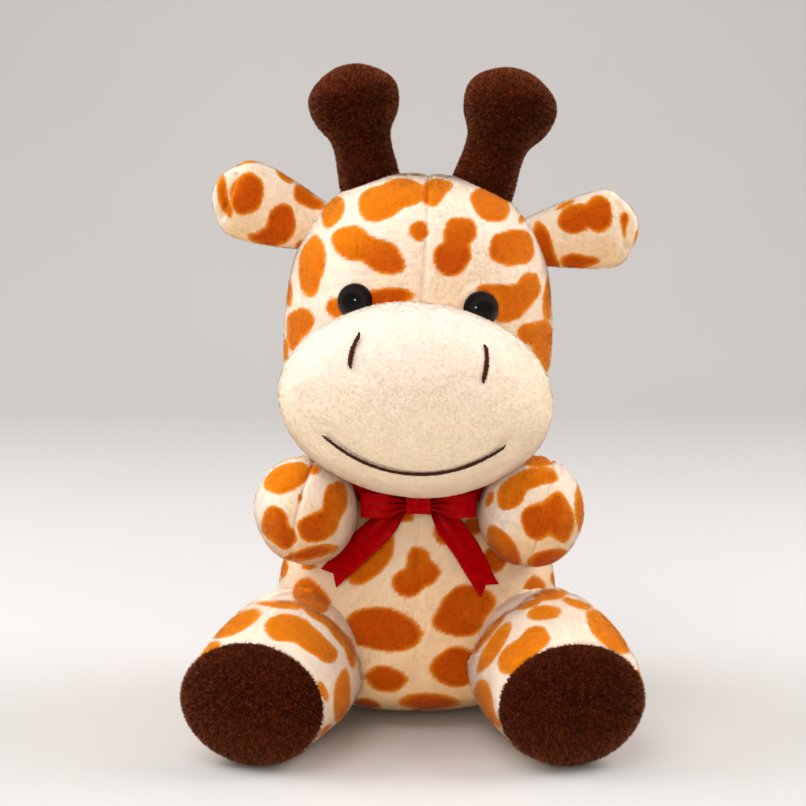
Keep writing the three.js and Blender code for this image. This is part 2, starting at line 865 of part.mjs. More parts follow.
function ribbonBand() {
  const { width, thickness, bandLow, bandSteps } = ribbon;
  const [low, high] = [bandLow, bandLow + width];
  const widthAt = (z) => section(torsoForm, z)[0] + clearance;
  const profile = [
    new THREE.Vector2(widthAt(low), low),
    new THREE.Vector2(widthAt(low) + thickness, low),
    new THREE.Vector2(widthAt(high) + thickness, high),
    new THREE.Vector2(widthAt(high), high),
  ];
  const middle = (low + high) / 2;
  const swell = widthAt(middle) - (widthAt(low) + widthAt(high)) / 2;
  profile.splice(2, 0, new THREE.Vector2(widthAt(middle) + Math.max(swell, 0) + thickness, middle));
  profile.push(new THREE.Vector2(widthAt(middle) + Math.max(swell, 0), middle));
  profile.push(profile[0].clone());
  const ring = new THREE.LatheGeometry(profile, bandSteps);
  ring.rotateX(Math.PI / 2);
  ring.scale(1, torso.depthShare, 1);
  return solidOf(ring);
}

function bowKnot() {
  const { knotWidth, knotHeight, knotDepth, knotBevel } = ribbon;
  const [halfWidth, halfHeight] = [knotWidth / 2 - knotBevel, knotHeight / 2 - knotBevel];
  const outline = new THREE.Shape([
    new THREE.Vector2(-halfWidth, -halfHeight),
    new THREE.Vector2(halfWidth, -halfHeight),
    new THREE.Vector2(halfWidth, halfHeight),
    new THREE.Vector2(-halfWidth, halfHeight),
  ]);
  const block = new THREE.ExtrudeGeometry(outline, {
    depth: knotDepth - 2 * knotBevel,
    bevelThickness: knotBevel,
    bevelSize: knotBevel,
    bevelSegments: 3,
  });
  block.translate(0, 0, knotBevel);
  block.rotateX(Math.PI / 2);
  block.translate(0, bowFront, bowHeight);
  return solidOf(block);
}

function bowLoop(side) {
  const { loopLength, loopDepth, thickness, width, loopSteps, loopPinchReach, loopPinchShare } = ribbon;
  const oval = (halfLength, halfDepth) =>
    steps(0, 2 * Math.PI, loopSteps)
      .slice(0, -1)
      .map((turn) => new THREE.Vector2(halfLength * Math.cos(turn), halfDepth * Math.sin(turn)));
  const outline = new THREE.Shape(oval(loopLength / 2, loopDepth / 2));
  outline.holes.push(new THREE.Path(oval(loopLength / 2 - thickness, loopDepth / 2 - thickness)));
  const band = new THREE.ExtrudeGeometry(outline, { depth: width, bevelEnabled: false });
  band.translate(loopLength / 2, -loopDepth / 2, -width / 2);
  const place = band.getAttribute('position');
  for (let k = 0; k < place.count; k++) {
    const away = THREE.MathUtils.smoothstep(place.getX(k), 0, loopPinchReach);
    place.setZ(k, place.getZ(k) * lerp(loopPinchShare, 1, away));
    place.setX(k, side * (place.getX(k) + ribbon.knotWidth / 2 + clearance));
    place.setY(k, place.getY(k) + bowFront);
    place.setZ(k, place.getZ(k) + bowHeight);
  }
  return solidOf(band);
}

function bowTail(side, leanDeg) {
  const { tailLength, tailTopWidth, width, tailFlareShare, tailNotch, tailSteps } = ribbon;
  const { thickness, tailSideways, tailTop, tailLift, tailRise, bandLow } = ribbon;
  const widthAt = (share) =>
    lerp(tailTopWidth, width, THREE.MathUtils.smoothstep(share, 0, tailFlareShare)) / 2;
  const shares = steps(0, 1, tailSteps);
  const right = shares.map((share) => new THREE.Vector2(widthAt(share), share * tailLength));
  const left = shares.map((share) => new THREE.Vector2(-widthAt(share), share * tailLength)).reverse();
  const notch = new THREE.Vector2(0, tailLength - tailNotch);
  const outline = new THREE.Shape([...right, notch, ...left]);
  const strip = new THREE.ExtrudeGeometry(outline, { depth: thickness, bevelEnabled: false });
  const lean = degToRad(leanDeg);
  const overBand = (z) =>
    (thickness + clearance) * THREE.MathUtils.smoothstep(z, bandLow - tailRise, bandLow - clearance);
  const place = strip.getAttribute('position');
  for (let k = 0; k < place.count; k++) {
    const [cross, along, out] = [place.getX(k), place.getY(k), place.getZ(k)];
    const x = side * (tailSideways + along * Math.sin(lean) + cross * Math.cos(lean));
    const z = tailTop - along * Math.cos(lean) + cross * Math.sin(lean);
    const y = frontOf(torsoForm, x, z) - clearance - tailLift - overBand(z) - out;
    place.setXYZ(k, x, y, z);
  }
  return solidOf(strip);
}

add(giraffe, 'neck_ribbon', ribbonBand(), satin);
add(giraffe, 'bow_knot', bowKnot(), satin);
for (const [name, side] of Object.entries(sides)) {
  add(giraffe, `bow_${name}_loop`, bowLoop(side), satin);
  add(giraffe, `bow_${name}_tail`, bowTail(side, own[name].ribbonLeanDeg), satin);
}

export default giraffe;
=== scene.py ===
# The looks of a seated plush giraffe: short pile, long brown pile, safety eyes, embroidery, a satin bow.
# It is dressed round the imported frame, +Z up. Sizes are in millimetres unless a name says otherwise.

import json
import math
from dataclasses import dataclass, replace

import bpy
import numpy as np
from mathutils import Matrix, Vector
from mathutils.kdtree import KDTree


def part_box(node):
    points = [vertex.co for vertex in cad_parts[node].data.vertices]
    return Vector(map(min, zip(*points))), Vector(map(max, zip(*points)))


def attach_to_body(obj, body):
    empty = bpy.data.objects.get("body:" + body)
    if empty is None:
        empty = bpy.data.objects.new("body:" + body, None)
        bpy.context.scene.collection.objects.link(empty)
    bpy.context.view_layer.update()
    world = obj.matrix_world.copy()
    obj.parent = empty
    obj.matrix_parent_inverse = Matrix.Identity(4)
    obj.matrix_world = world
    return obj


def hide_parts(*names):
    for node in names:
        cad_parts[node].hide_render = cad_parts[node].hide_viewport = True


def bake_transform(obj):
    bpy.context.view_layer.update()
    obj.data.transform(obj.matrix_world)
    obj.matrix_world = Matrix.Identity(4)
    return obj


MM = 0.001

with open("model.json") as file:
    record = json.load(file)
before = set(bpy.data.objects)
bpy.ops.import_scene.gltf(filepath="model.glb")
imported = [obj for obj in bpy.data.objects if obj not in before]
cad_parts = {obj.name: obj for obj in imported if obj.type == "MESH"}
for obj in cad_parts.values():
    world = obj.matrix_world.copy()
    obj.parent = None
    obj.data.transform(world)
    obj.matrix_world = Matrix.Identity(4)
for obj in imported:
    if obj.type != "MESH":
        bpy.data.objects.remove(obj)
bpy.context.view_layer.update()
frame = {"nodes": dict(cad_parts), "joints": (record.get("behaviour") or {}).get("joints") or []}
pivots = {joint["name"]: np.array(joint["pos_m"]) / MM for joint in frame["joints"]}

UP = np.array([0.0, 0.0, 1.0])
FORWARD = np.array([0.0, -1.0, 0.0])
SIDES = {"left": -1, "right": 1}

# Camera, and where it sees a point in the photograph's frame of 806 by 806
PHOTO_SIDE = 806
PHOTO_FOCAL = 1765
SENSOR = 36
CAMERA_PLACE = np.array([-6.0, -717.0, 214.0])
CAMERA_PITCH = math.radians(7.2)


def photo_places(points):
    """Where points show in the photograph, and how many of its pixels a millimetre takes there."""
    offset = points - CAMERA_PLACE
    ahead = offset[:, 1] * math.cos(CAMERA_PITCH) - offset[:, 2] * math.sin(CAMERA_PITCH)
    above = offset[:, 1] * math.sin(CAMERA_PITCH) + offset[:, 2] * math.cos(CAMERA_PITCH)
    middle = PHOTO_SIDE / 2
    x = middle + PHOTO_FOCAL * offset[:, 0] / ahead
    y = middle - PHOTO_FOCAL * above / ahead
    return np.stack([x, y], 1), PHOTO_FOCAL / ahead


def unit(vectors):
    vectors = np.asarray(vectors, float)
    return vectors / np.maximum(np.linalg.norm(vectors, axis=-1, keepdims=True), 1e-9)


def smooth(low, high, values):
    share = np.clip((values - low) / (high - low), 0, 1)
    return share * share * (3 - 2 * share)


def ripple(points, length, seed, waves=12):
    """Smooth noise of about -1 to 1 whose bumps are about length across."""
    random = np.random.default_rng(seed)
    ways = unit(random.normal(size=(waves, 3))) * random.uniform(0.6, 1.5, (waves, 1))
    phases = random.uniform(0, 2 * math.pi, waves)
    return np.cos(points @ ways.T * (math.pi / length) + phases).sum(1) / math.sqrt(waves)


# Forms: half sizes at even steps along an axis, closed by a dome at each end


def evenly(values):
    """A smooth curve through values at even steps, as a function of the share of the way."""
    values = np.array(values, float)
    last = len(values) - 1

    def curve(share):
        place = np.clip(share, 0, 1) * last
        index = np.minimum(place.astype(int), last - 1)
        t = place - index
        before, a, b, after = (values[np.clip(index + k, 0, last)] for k in (-1, 0, 1, 2))
        leave, arrive = (b - before) / 2, (after - a) / 2
        return (
            (2 * a - 2 * b + leave + arrive) * t**3
            + (3 * b - 3 * a - 2 * leave - arrive) * t**2
            + leave * t
            + a
        )

    return curve


def even(value):
    return lambda share: np.full_like(share, value, float)


def closed_faces(around, rings):
    """Triangles of a closed form: a first point, rings of points, and a last point."""
    here = np.arange(around)
    there = (here + 1) % around
    rows = 1 + np.arange(rings - 1)[:, None] * around
    a, b = rows + here, rows + there
    c, d = b + around, a + around
    last = 1 + rings * around
    zero = np.zeros(around, int)
    faces = [
        np.stack([zero, 1 + there, 1 + here], 1),
        np.stack([a, b, c], -1).reshape(-1, 3),
        np.stack([a, c, d], -1).reshape(-1, 3),
        np.stack([last - around + here, last - around + there, zero + last], 1),
    ]
    return np.vstack(faces)


def dome(distance, reach, power):
    short = 1 - np.clip(distance, 0, reach) / reach
    return np.maximum(1 - short**power, 0) ** (1 / power)


@dataclass
class Form:
    """One stuffed form: sides gives its half width and the half heights on its plus and minus side."""

    body: str
    place: np.ndarray
    axes: np.ndarray
    span: tuple
    sides: tuple
    reaches: tuple
    powers: tuple = (2, 2)

    def section(self, at, inset=0.0):
        """The sides at some places on the axis, shrunk by inset."""
        start, end = self.span
        share = (at - start) / (end - start)
        rounding = dome(at - (start + inset), self.reaches[0], self.powers[0])
        rounding = rounding * dome((end - inset) - at, self.reaches[1], self.powers[1])
        return [(side(share) - inset) * rounding for side in self.sides]

    def local(self, points):
        return (points - self.place) @ self.axes

    def world(self, points):
        return self.place + points @ self.axes.T

    def holds(self, points, margin=0.0):
        """Which points lie inside the form, shrunk by margin."""
        x, y, at = self.local(points).T
        half, plus, minus = self.section(at, margin)
        across = np.where(y > 0, plus, minus)
        with np.errstate(divide="ignore", invalid="ignore"):
            spread = (x / half) ** 2 + (y / across) ** 2
        inside = (at > self.span[0] + margin) & (at < self.span[1] - margin)
        return inside & (half > 0) & (spread < 1)

    def grid(self, around, rings, inset):
        """Vertices and triangles of the closed form, shrunk by inset."""
        start, end = self.span[0] + inset, self.span[1] - inset
        turns = np.arange(around) * 2 * math.pi / around
        turns -= math.pi / 2
        steps = start + (end - start) * (0.5 - 0.5 * np.cos(math.pi * np.arange(1, rings) / rings))
        half, plus, minus = (size[:, None] for size in self.section(steps, inset))
        y = np.sin(turns) * np.where(np.sin(turns) > 0, plus, minus)
        x = np.cos(turns) * half
        at = np.broadcast_to(steps[:, None], x.shape)
        ring_points = np.stack([x, y, at], -1).reshape(-1, 3)
        points = np.vstack([[0, 0, start], ring_points, [0, 0, end]])
        return self.world(points), closed_faces(around, rings - 1)


def basis(direction, reference):
    z = unit(direction)
    x = unit(np.cross(z, reference))
    return np.stack([x, np.cross(z, x), z], 1)


def limb_basis(direction):
    return basis(direction, -UP)


# The head and what it carries are rolled about the neck pivot

HEAD_ROLL = math.radians(3.5)
HEAD_SHIFT = np.array([-3.1, -2.0, 0.0])
head_place = pivots["head_nod"]
head_axes = np.array(
    [
        [math.cos(HEAD_ROLL), 0, math.sin(HEAD_ROLL)],
        [0, 1, 0],
        [-math.sin(HEAD_ROLL), 0, math.cos(HEAD_ROLL)],
    ]
)


def on_head(x, y, z):
    return head_place + head_axes @ (HEAD_SHIFT + np.array([x, y, z]))


TORSO_WIDTHS = [47, 56.5, 59, 58, 55, 47.5, 39.5, 33]
TORSO_DEPTH_SHARE = 0.9
TORSO_HEIGHT = 106
HORN_LEAN = math.radians(15)
HORN_WIDTHS = [12.8, 12.7, 12.3, 11.7, 12.5, 16.7, 18.3, 17.2, 14]
EAR_WIDTHS = [9.5, 11.3, 13.8, 15.6, 15.8, 13]
EAR_THICKNESSES = [6.8, 7.4, 8, 8, 7.2, 5.6]
ARM_WIDTHS = [14, 17, 19.2, 19.7, 18.8]
ARM_HEIGHTS = [14, 17.5, 20.6, 21.5, 20.5]
LEG_WIDTHS = [21, 26, 28.2, 28.8, 28.2, 27.2]
LEG_ABOVE = [21, 27, 29.6, 29.3, 26.6, 22.6]
LEG_BELOW = [20, 26.2, 28.1, 27, 25.2, 23.3]
ARM_LENGTH = 65.6
LEG_LENGTH = 68.4
SOLE_WRAP = 6.5
SOLE_THICKNESS = 6
SOLE_GROWTHS = (1.4, 1.4, 0.7)
TAIL_SLOPE = math.radians(32)
TAIL_RADIUS = 4.6
TUFT_RADIUS = 7
HORN_LENGTHS = {"left": 48.8, "right": 51.2}
HORN_FULLNESS = {"left": 1.0, "right": 1.04}
HORN_SHIFTS = {"left": 0.0, "right": -0.9}
EAR_CROWN = 1.05
EAR_LIFTS = {"left": math.radians(16.5), "right": math.radians(13.5)}
PAWS = {"left": np.array([-45, -72, 93.8]), "right": np.array([45.8, -72, 92.8])}
FEET = {"left": np.array([-62.6, -95, 23.8]), "right": np.array([56.6, -95, 23.8])}
MUZZLE_HEIGHT = 31.3


def scaled(curve, share):
    return lambda at: curve(at) * share


def swung_tail(span, radius, reaches):
    way = unit([0, math.cos(TAIL_SLOPE), -math.sin(TAIL_SLOPE)])
    return Form("tail", pivots["tail_swing"], limb_basis(way), span, (even(radius),) * 3, reaches)


torso_width = evenly(TORSO_WIDTHS)
torso_depth = scaled(torso_width, TORSO_DEPTH_SHARE)
forms = {
    "body": Form(
        "torso", np.zeros(3), np.eye(3), span=(0, TORSO_HEIGHT),
        sides=(torso_width, torso_depth, torso_depth), reaches=(14, 7), powers=(2.4, 2),
    ),
    "head": Form(
        "head", on_head(0, 0, 0), head_axes, span=(-12, 117), sides=(even(54.8), even(50), even(49)),
        reaches=(62, 67), powers=(2.2, 2.45),
    ),
    "muzzle": Form(
        "head", on_head(0, 0, MUZZLE_HEIGHT), head_axes @ limb_basis(FORWARD), span=(23, 85),
        sides=(even(52.2), even(37), even(37)), reaches=(27, 35), powers=(2, 2.35),
    ),
}
for name, side in SIDES.items():
    lean, lift = side * HORN_LEAN, EAR_LIFTS[name]
    horn_way = head_axes @ np.array([math.sin(lean), 0, math.cos(lean)])
    ear_way = head_axes @ np.array([side * math.cos(lift), 0, math.sin(lift)])
    ear_height, arm_height = evenly(EAR_WIDTHS), evenly(ARM_HEIGHTS)
    shoulder, hip = pivots[f"{name}_arm_spread"], pivots[f"{name}_leg_spread"]
    leg_axes = limb_basis(FEET[name] - hip)
    forms[f"{name}_horn"] = Form(
        f"{name}_horn", pivots[f"{name}_horn_bend"] + head_axes @ np.array([HORN_SHIFTS[name], 0, 0]),
        basis(horn_way, FORWARD), span=(-8, HORN_LENGTHS[name]),
        sides=(scaled(evenly(HORN_WIDTHS), HORN_FULLNESS[name]),) * 3, reaches=(4, 12), powers=(2, 2.1),
    )
    forms[f"{name}_ear"] = Form(
        f"{name}_ear", pivots[f"{name}_ear_bend"], limb_basis(ear_way), span=(-6, 43.2),
        sides=(evenly(EAR_THICKNESSES), scaled(ear_height, EAR_CROWN), ear_height), reaches=(3, 13),
        powers=(2, 2.1),
    )
    forms[f"{name}_arm"] = Form(
        f"{name}_arm", shoulder, limb_basis(PAWS[name] - shoulder), span=(-8, ARM_LENGTH),
        sides=(evenly(ARM_WIDTHS), arm_height, arm_height), reaches=(12, 21), powers=(2, 2.15),
    )
    forms[f"{name}_leg"] = Form(
        f"{name}_leg", hip, leg_axes, span=(-10, LEG_LENGTH),
        sides=(evenly(LEG_WIDTHS), evenly(LEG_ABOVE), evenly(LEG_BELOW)), reaches=(14, 8),
    )
    ends = np.array([LEG_WIDTHS[-1], LEG_ABOVE[-1], LEG_BELOW[-1]])
    forms[f"{name}_sole"] = Form(
        f"{name}_leg", hip, leg_axes, span=(LEG_LENGTH - SOLE_WRAP, LEG_LENGTH + SOLE_THICKNESS),
        sides=tuple(even(size) for size in ends + SOLE_GROWTHS), reaches=(1, 11),
    )
forms["tail"] = swung_tail((0, 27), TAIL_RADIUS, (TAIL_RADIUS, TAIL_RADIUS))
forms["tuft"] = swung_tail((25, 45), TUFT_RADIUS, (TUFT_RADIUS, 13))


# Colours


def colour(red, green, blue):
    share = np.array([red, green, blue]) / 255
    return np.where(share <= 0.04045, share / 12.92, ((share + 0.055) / 1.055) ** 2.4)


# Lit and shaded copies of the cream, the muzzle's cream and the orange: painted light and shade
CREAM = colour(251, 231, 213)
SHADED_CREAM = colour(251, 214, 170)
MUZZLE_CREAM = colour(250, 232, 218)
SHADED_MUZZLE = colour(255, 233, 203)
ORANGE = colour(226, 124, 8)
SHADED_ORANGE = colour(198, 81, 2)
EDGE_ORANGE = colour(236, 141, 20)
DARK_BROWN = colour(36, 10, 4)
LIGHT_BROWN = colour(150, 64, 30)
LIGHT_WAY = unit([-0.25, -0.3, 0.92])
# Painted light: orange made lighter on the legs and where the cloth faces sideways
LEG_PAINTED_LIGHT = 0.3
SIDE_PAINTED_LIGHT = 0.7
# Painted shade: the body's cream made darker and warmer, as in the shade under the muzzle
BODY_PAINTED_SHADE = np.array([1.03, 0.97, 0.84])
# Painted light on a leg behind its ridge, and painted shade in the crease at the ridge
BEHIND_RIDGE_PAINTED_LIGHT = 0.25
LEG_CREASE_SHADE = 0.4
# Painted shade on the body beside the bow, under the arms
UNDER_ARMS_SHADE = 0.5
CLOTH_SHADE = 0.14
# Painted light on the brown pile: lighter facing the light, on a sole's low part and on a horn's top
BROWN_BASE, BROWN_LIT = 0.22, 0.12
SOLE_BOUNCE_LIGHT, HORN_TOP_LIGHT = 0.28, 0.2
PLUSH_MOTTLE = ((0.94, 0.93, 0.92), (1, 1, 1))
EYE_MOTTLE = ((0.7, 0.7, 0.7), (1, 1, 1))
LAMP_WHITE = (1.0, 1.0, 1.0)
LAMP_WARM = (1.0, 0.93, 0.82)
ROOM_WARM = (1.0, 0.95, 0.88)
ROOM_STRENGTH = 0.58
DARK_RED = colour(150, 0, 3)
RED = colour(180, 0, 6)
THREAD_BROWN = colour(62, 24, 12)
PUPIL_BLACK = colour(9, 7, 6)
IRIS_BROWN = colour(34, 26, 22)
FIBRE_WHITE = colour(246, 244, 238)
PELLET_GREY = colour(217, 212, 200)
WASHER_WHITE = colour(232, 230, 224)
FLOOR_GREY = colour(199, 197, 197)
FLOOR_PALE = colour(204, 202, 202)
WARM_SHADOW = np.array([0.5, 0.85, 1.15])


def blended(first, second, share):
    """From first to second as share goes from 0 to 1, for one share for each row."""
    share = np.asarray(share)[:, None]
    return first * (1 - share) + second * share


# Patches as the photograph shows them: each is one ellipse or a few that melt together. An ellipse is the
# x and y of its middle, its half width and half height, and a turn in degrees, positive where its right end
# is up. All but the turns are in the photograph's pixels.
PHOTO_PATCHES = {
    "head": [
        [(379, 204, 22, 18, 20), (403, 193, 22, 15, 5)],
        [(433, 193, 12, 14, -20), (441, 186, 12, 5, 0)],
        [(419, 231, 10, 10.5, 0)],
        [(352, 243, 20, 18, -10), (381, 256, 26, 17, -25)],
        [(460, 232, 17, 16, 0), (452, 258, 20, 18, 15)],
        [(490, 205, 21.5, 15.5, -25)],
        [(505, 249, 17, 17, 0), (519, 247, 16, 18, 0)],
        [(333, 212, 17, 10.5, 60)],
        [(312, 266, 13, 32, -6)],
        [(301, 322, 14, 14, 0), (294, 338, 7, 13, 0)],
        [(289, 293, 4, 14, 0)],
        [(336, 308, 10, 10, 0), (362, 303, 20, 9, 8), (391, 296, 23, 9, 3)],
        [(527, 291, 13, 19, -25), (505, 303, 22, 19, 25), (486, 290, 11, 6, 10)],
        [(533, 334, 16, 12, -5), (542, 340, 9, 20, -8), (546, 360, 4, 14, -8)],
        [(549, 296, 6, 28, -7)],
        [(525, 213, 4, 13, -25)],
        [(444, 172, 13, 5, 0)],
        [(417, 172, 9, 4, 0)],
        [(286, 350, 3, 12, 0)],
    ],
    "body": [
        [(418, 560, 11, 14, 0), (424, 572, 16, 14, -20), (408, 583, 16, 15, 15)],
        [(382, 630, 42, 22, -6)],
        [(468, 603, 27, 19, 10), (458, 621, 25, 17, 0)],
        [(456, 667, 26, 20, 0)],
        [(386, 679, 22, 13, -12)],
        [(429, 702, 31, 9, 0)],
        [(367, 706, 14, 8, -10)],
        [(370, 557, 32, 19, 48)],
        [(406, 517, 8, 6, 0)],
        [(441, 535, 7, 11, 30)],
        [(474, 526, 10, 9, 0)],
        [(494, 560, 13, 13, 20)],
        [(307, 592, 15, 14, -20), (320, 606, 11, 13, -30)],
        [(534, 592, 12, 16, -20)],
        [(555, 578, 5, 9, 0)],
        [(282, 568, 7, 10, 0)],
        [(309, 566, 8, 4, 0)],
    ],
    "left_arm": [
        [(287, 478, 24.5, 14, 27)],
        [(314, 470, 6.5, 5, 0)],
        [(300, 498, 2.5, 4, 0)],
        [(275, 524, 14, 18, 10), (286, 538, 11, 11, -30)],
        [(335, 501, 13, 20, -8), (317, 527, 21, 15, 12)],
        [(311, 553, 30, 6.5, 13)],
    ],
    "right_arm": [
        [(511, 495, 13, 17, -30), (532, 478, 21, 10, 12), (549, 477, 8, 5, -20)],
        [(536, 522, 15, 19, 0), (559, 517, 15, 26, 7)],
        [(504, 550, 13, 27, 31)],
        [(548, 560, 22, 11, 14)],
        [(581, 513, 6, 29, 7)],
        [(539, 461, 17, 6.5, 0)],
        [(490, 499, 4, 8, -15)],
    ],
    "left_leg": [
        [(287, 628, 23, 14, -5), (313, 642, 22, 11.5, -38), (329, 655, 8, 8, -20)],
        [(236, 624, 30, 8.5, 27)],
        [(210, 651, 13, 6.5, 42)],
        [(284, 605, 26, 4, -4)],
        [(317, 616, 17, 4, -30), (339, 636, 14, 4.5, -50), (351, 656, 4, 12, 8)],
        [(342, 701, 9, 32, -3)],
        [(323, 691, 4, 11, 25)],
        [(322, 737, 6, 15, -38)],
        [(307, 592, 15, 14, -20), (320, 604, 10, 9, -30)],
    ],
    "right_leg": [
        [(517, 657, 22, 15, 42), (536, 638, 14, 12, 20)],
        [(544, 613, 18, 7.5, 8)],
        [(609, 632, 30, 13, -42)],
        [(494, 647, 31, 7.5, 56)],
        [(486, 637, 31, 3.4, 50)],
        [(531, 604, 16, 3.5, 22)],
        [(550, 595, 18, 5.5, 2)],
        [(577, 604, 17, 4, -18)],
        [(484, 700, 9, 22, 8), (492, 723, 7, 13, 30)],
        [(641, 688, 6, 18, 8)],
        [(511, 754, 8, 3, -40)],
    ],
    "left_ear": [
        [(247, 194, 17, 22, -8)],
        [(282, 222, 15, 18, 0), (272, 236, 17, 10, 10), (256, 238, 8, 3, -15)],
        [(285, 176, 11, 5, -38)],
        [(303, 194, 11, 9, -50), (313, 203, 12, 6, -20)],
        [(222, 188, 5, 13, 0), (227, 207, 5, 11, 20)],
        [(235, 164, 6, 3, 20), (250, 161, 12, 2, 0)],
        [(304, 245, 10, 6, 20)],
    ],
    "right_ear": [
        [(575, 219, 18, 15, 25), (599, 214, 14, 19, 0)],
        [(543, 240, 9, 19, 15), (551, 262, 7, 13, 30)],
        [(574, 262, 14, 8.5, -5), (590, 261, 10, 4, 5)],
        [(625, 219, 4, 5, 0), (624, 229, 2, 10, 5)],
        [(633, 206, 3, 8, 30)],
        [(637, 236, 2.5, 8, -15)],
        [(565, 205, 11, 2.5, 25)],
    ],
}
# Where each leg's round front ends against its root and the body, in the photograph's pixels
LEG_RIDGES = {
    "left_leg": [(278, 602), (298, 603), (313, 611), (329, 621), (344, 637), (357, 660), (360, 678)],
    "right_leg": [(476, 650), (490, 627), (504, 616), (517, 609), (531, 599), (552, 591)],
}
PATCH_SPACE = 3.4
PATCH_SIZES = {
    "head": (9, 15), "body": (10, 17), "arm": (6, 11), "leg": (8, 14), "ear": (5, 9), "tail": (3, 4),
}
# How far ellipses of one patch melt together, in millimetres
MELT = 1.1
OUTSIDE = -99.0
PATCH_TRIES = 900
ROUND_THE_SIDE = 24


def across_faces(points, faces):
    """For each triangle a vector across it, twice as long as its area."""
    a, b, c = points[faces].transpose(1, 0, 2)
    return np.cross(b - a, c - a)


def kind_of(name):
    return name.split("_")[-1]


def vertex_normals(points, faces):
    across = across_faces(points, faces)
    normals = np.zeros_like(points)
    for corner in faces.T:
        np.add.at(normals, corner, across)
    return unit(normals)


def sampled(points, faces, normals, count, random):
    """Points and normals drawn evenly over a surface."""
    areas = np.linalg.norm(across_faces(points, faces), axis=1)
    face = random.choice(len(faces), count, p=areas / areas.sum())
    first, second = random.random((2, count))
    over = first + second > 1
    first, second = np.where(over, 1 - first, first), np.where(over, 1 - second, second)
    weights = np.stack([1 - first - second, first, second], 1)[:, :, None]
    return (points[faces[face]] * weights).sum(1), unit((normals[faces[face]] * weights).sum(1))


def area_of(points, faces):
    return np.linalg.norm(across_faces(points, faces), axis=1).sum() / 2


def towards_camera(points, normals):
    return (unit(CAMERA_PLACE - points) * normals).sum(1)


def wobble(angle, seed):
    """An uneven outline: how far a patch reaches at each angle, about 1."""
    random = np.random.default_rng(seed)
    reach = np.ones_like(angle)
    for waves in (2, 3, 4, 5):
        size, phase = random.uniform(0.02, 0.12) / waves, random.uniform(0, 2 * math.pi)
        reach += size * np.cos(waves * angle + phase)
    return reach


class Patches:
    """Printed patches on one form: those of the photograph, and others round the sides and the back."""

    def __init__(self, name, points, faces, normals):
        self.photo = PHOTO_PATCHES.get(name, [])
        self.seed = sum(map(ord, name))
        random = np.random.default_rng(self.seed)
        self.others = []
        if kind_of(name) not in PATCH_SIZES:
            return
        low, high = PATCH_SIZES[kind_of(name)]
        places, ways = sampled(points, faces, normals, PATCH_TRIES, random)
        taken = self.photo_depth(places, ways)
        facing = towards_camera(places, ways)
        for place, way, reach, toward in zip(places, ways, taken, facing):
            size = random.uniform(low, high)
            if toward > -0.2 or reach > -size - PATCH_SPACE:
                continue
            near = [np.linalg.norm(place - o[0]) < size + o[3] + PATCH_SPACE for o in self.others]
            if any(near):
                continue
            first = unit(np.cross(way, unit(random.normal(size=3))))
            self.others.append((place, first, np.cross(way, first), size, random.uniform(0.7, 1)))

    def photo_depth(self, points, normals):
        """How far inside a photographed patch each point lies, in millimetres."""
        depth = np.full(len(points), OUTSIDE)
        pixels, scale = photo_places(points)
        for k, ellipses in enumerate(self.photo):
            melted = np.zeros(len(points))
            for x, y, half_width, half_height, turn in ellipses:
                turned = math.radians(turn)
                across, above = pixels[:, 0] - x, y - pixels[:, 1]
                along = (across * math.cos(turned) + above * math.sin(turned)) / half_width
                aside = (above * math.cos(turned) - across * math.sin(turned)) / half_height
                spread = np.hypot(along, aside)
                edge = wobble(np.arctan2(aside, along), 100 * self.seed + k)
                inside = (edge - spread) * min(half_width, half_height) / scale
                melted += np.exp(np.clip(inside, -60, 60) / MELT)
            depth = np.maximum(depth, MELT * np.log(np.maximum(melted, 1e-30)))
        turned_away = np.maximum(0.1 - towards_camera(points, normals), 0)
        return depth - ROUND_THE_SIDE * turned_away

    def depth(self, points, normals):
        depth = self.photo_depth(points, normals)
        hidden = towards_camera(points, normals) < 0.08
        for k, (place, first, second, size, squeeze) in enumerate(self.others):
            offset = points - place
            along, aside = offset @ first, (offset @ second) / squeeze
            out = offset @ np.cross(first, second)
            spread = np.sqrt(along**2 + aside**2 + 0.6 * out**2) / size
            edge = wobble(np.arctan2(aside, along), 100 * self.seed + 50 + k)
            depth = np.maximum(depth, np.where(hidden, (edge - spread) * size * squeeze, OUTSIDE))
        return depth


# Meshes


def mesh_object(name, points, faces, normals=None):
    mesh = bpy.data.meshes.new(name)
    mesh.vertices.add(len(points))
    mesh.vertices.foreach_set("co", (points * MM).astype(np.float32).ravel())
    mesh.loops.add(faces.size)
    mesh.loops.foreach_set("vertex_index", faces.astype(np.int32).ravel())
    mesh.polygons.add(len(faces))
    corners = faces.shape[1]
    mesh.polygons.foreach_set("loop_start", np.arange(len(faces), dtype=np.int32) * corners)
    mesh.polygons.foreach_set("loop_total", np.full(len(faces), corners, np.int32))
    mesh.update(calc_edges=True)
    mesh.validate()
    mesh.polygons.foreach_set("use_smooth", np.ones(len(faces), bool))
    if normals is not None:
        mesh.normals_split_custom_set_from_vertices(normals)
    piece = bpy.data.objects.new(name, mesh)
    bpy.context.scene.collection.objects.link(piece)
    return piece


def tint(piece, colours):
    layer = piece.data.attributes.new("Tint", "FLOAT_COLOR", "POINT")
    rgba = np.ones((len(colours), 4), np.float32)
    rgba[:, :3] = colours
    layer.data.foreach_set("color", rgba.ravel())


def wear(piece, material):
    piece.data.materials.append(material)


# Materials


def set_values(node, values):
    for socket, value in values.items():
        node.inputs[socket].default_value = value


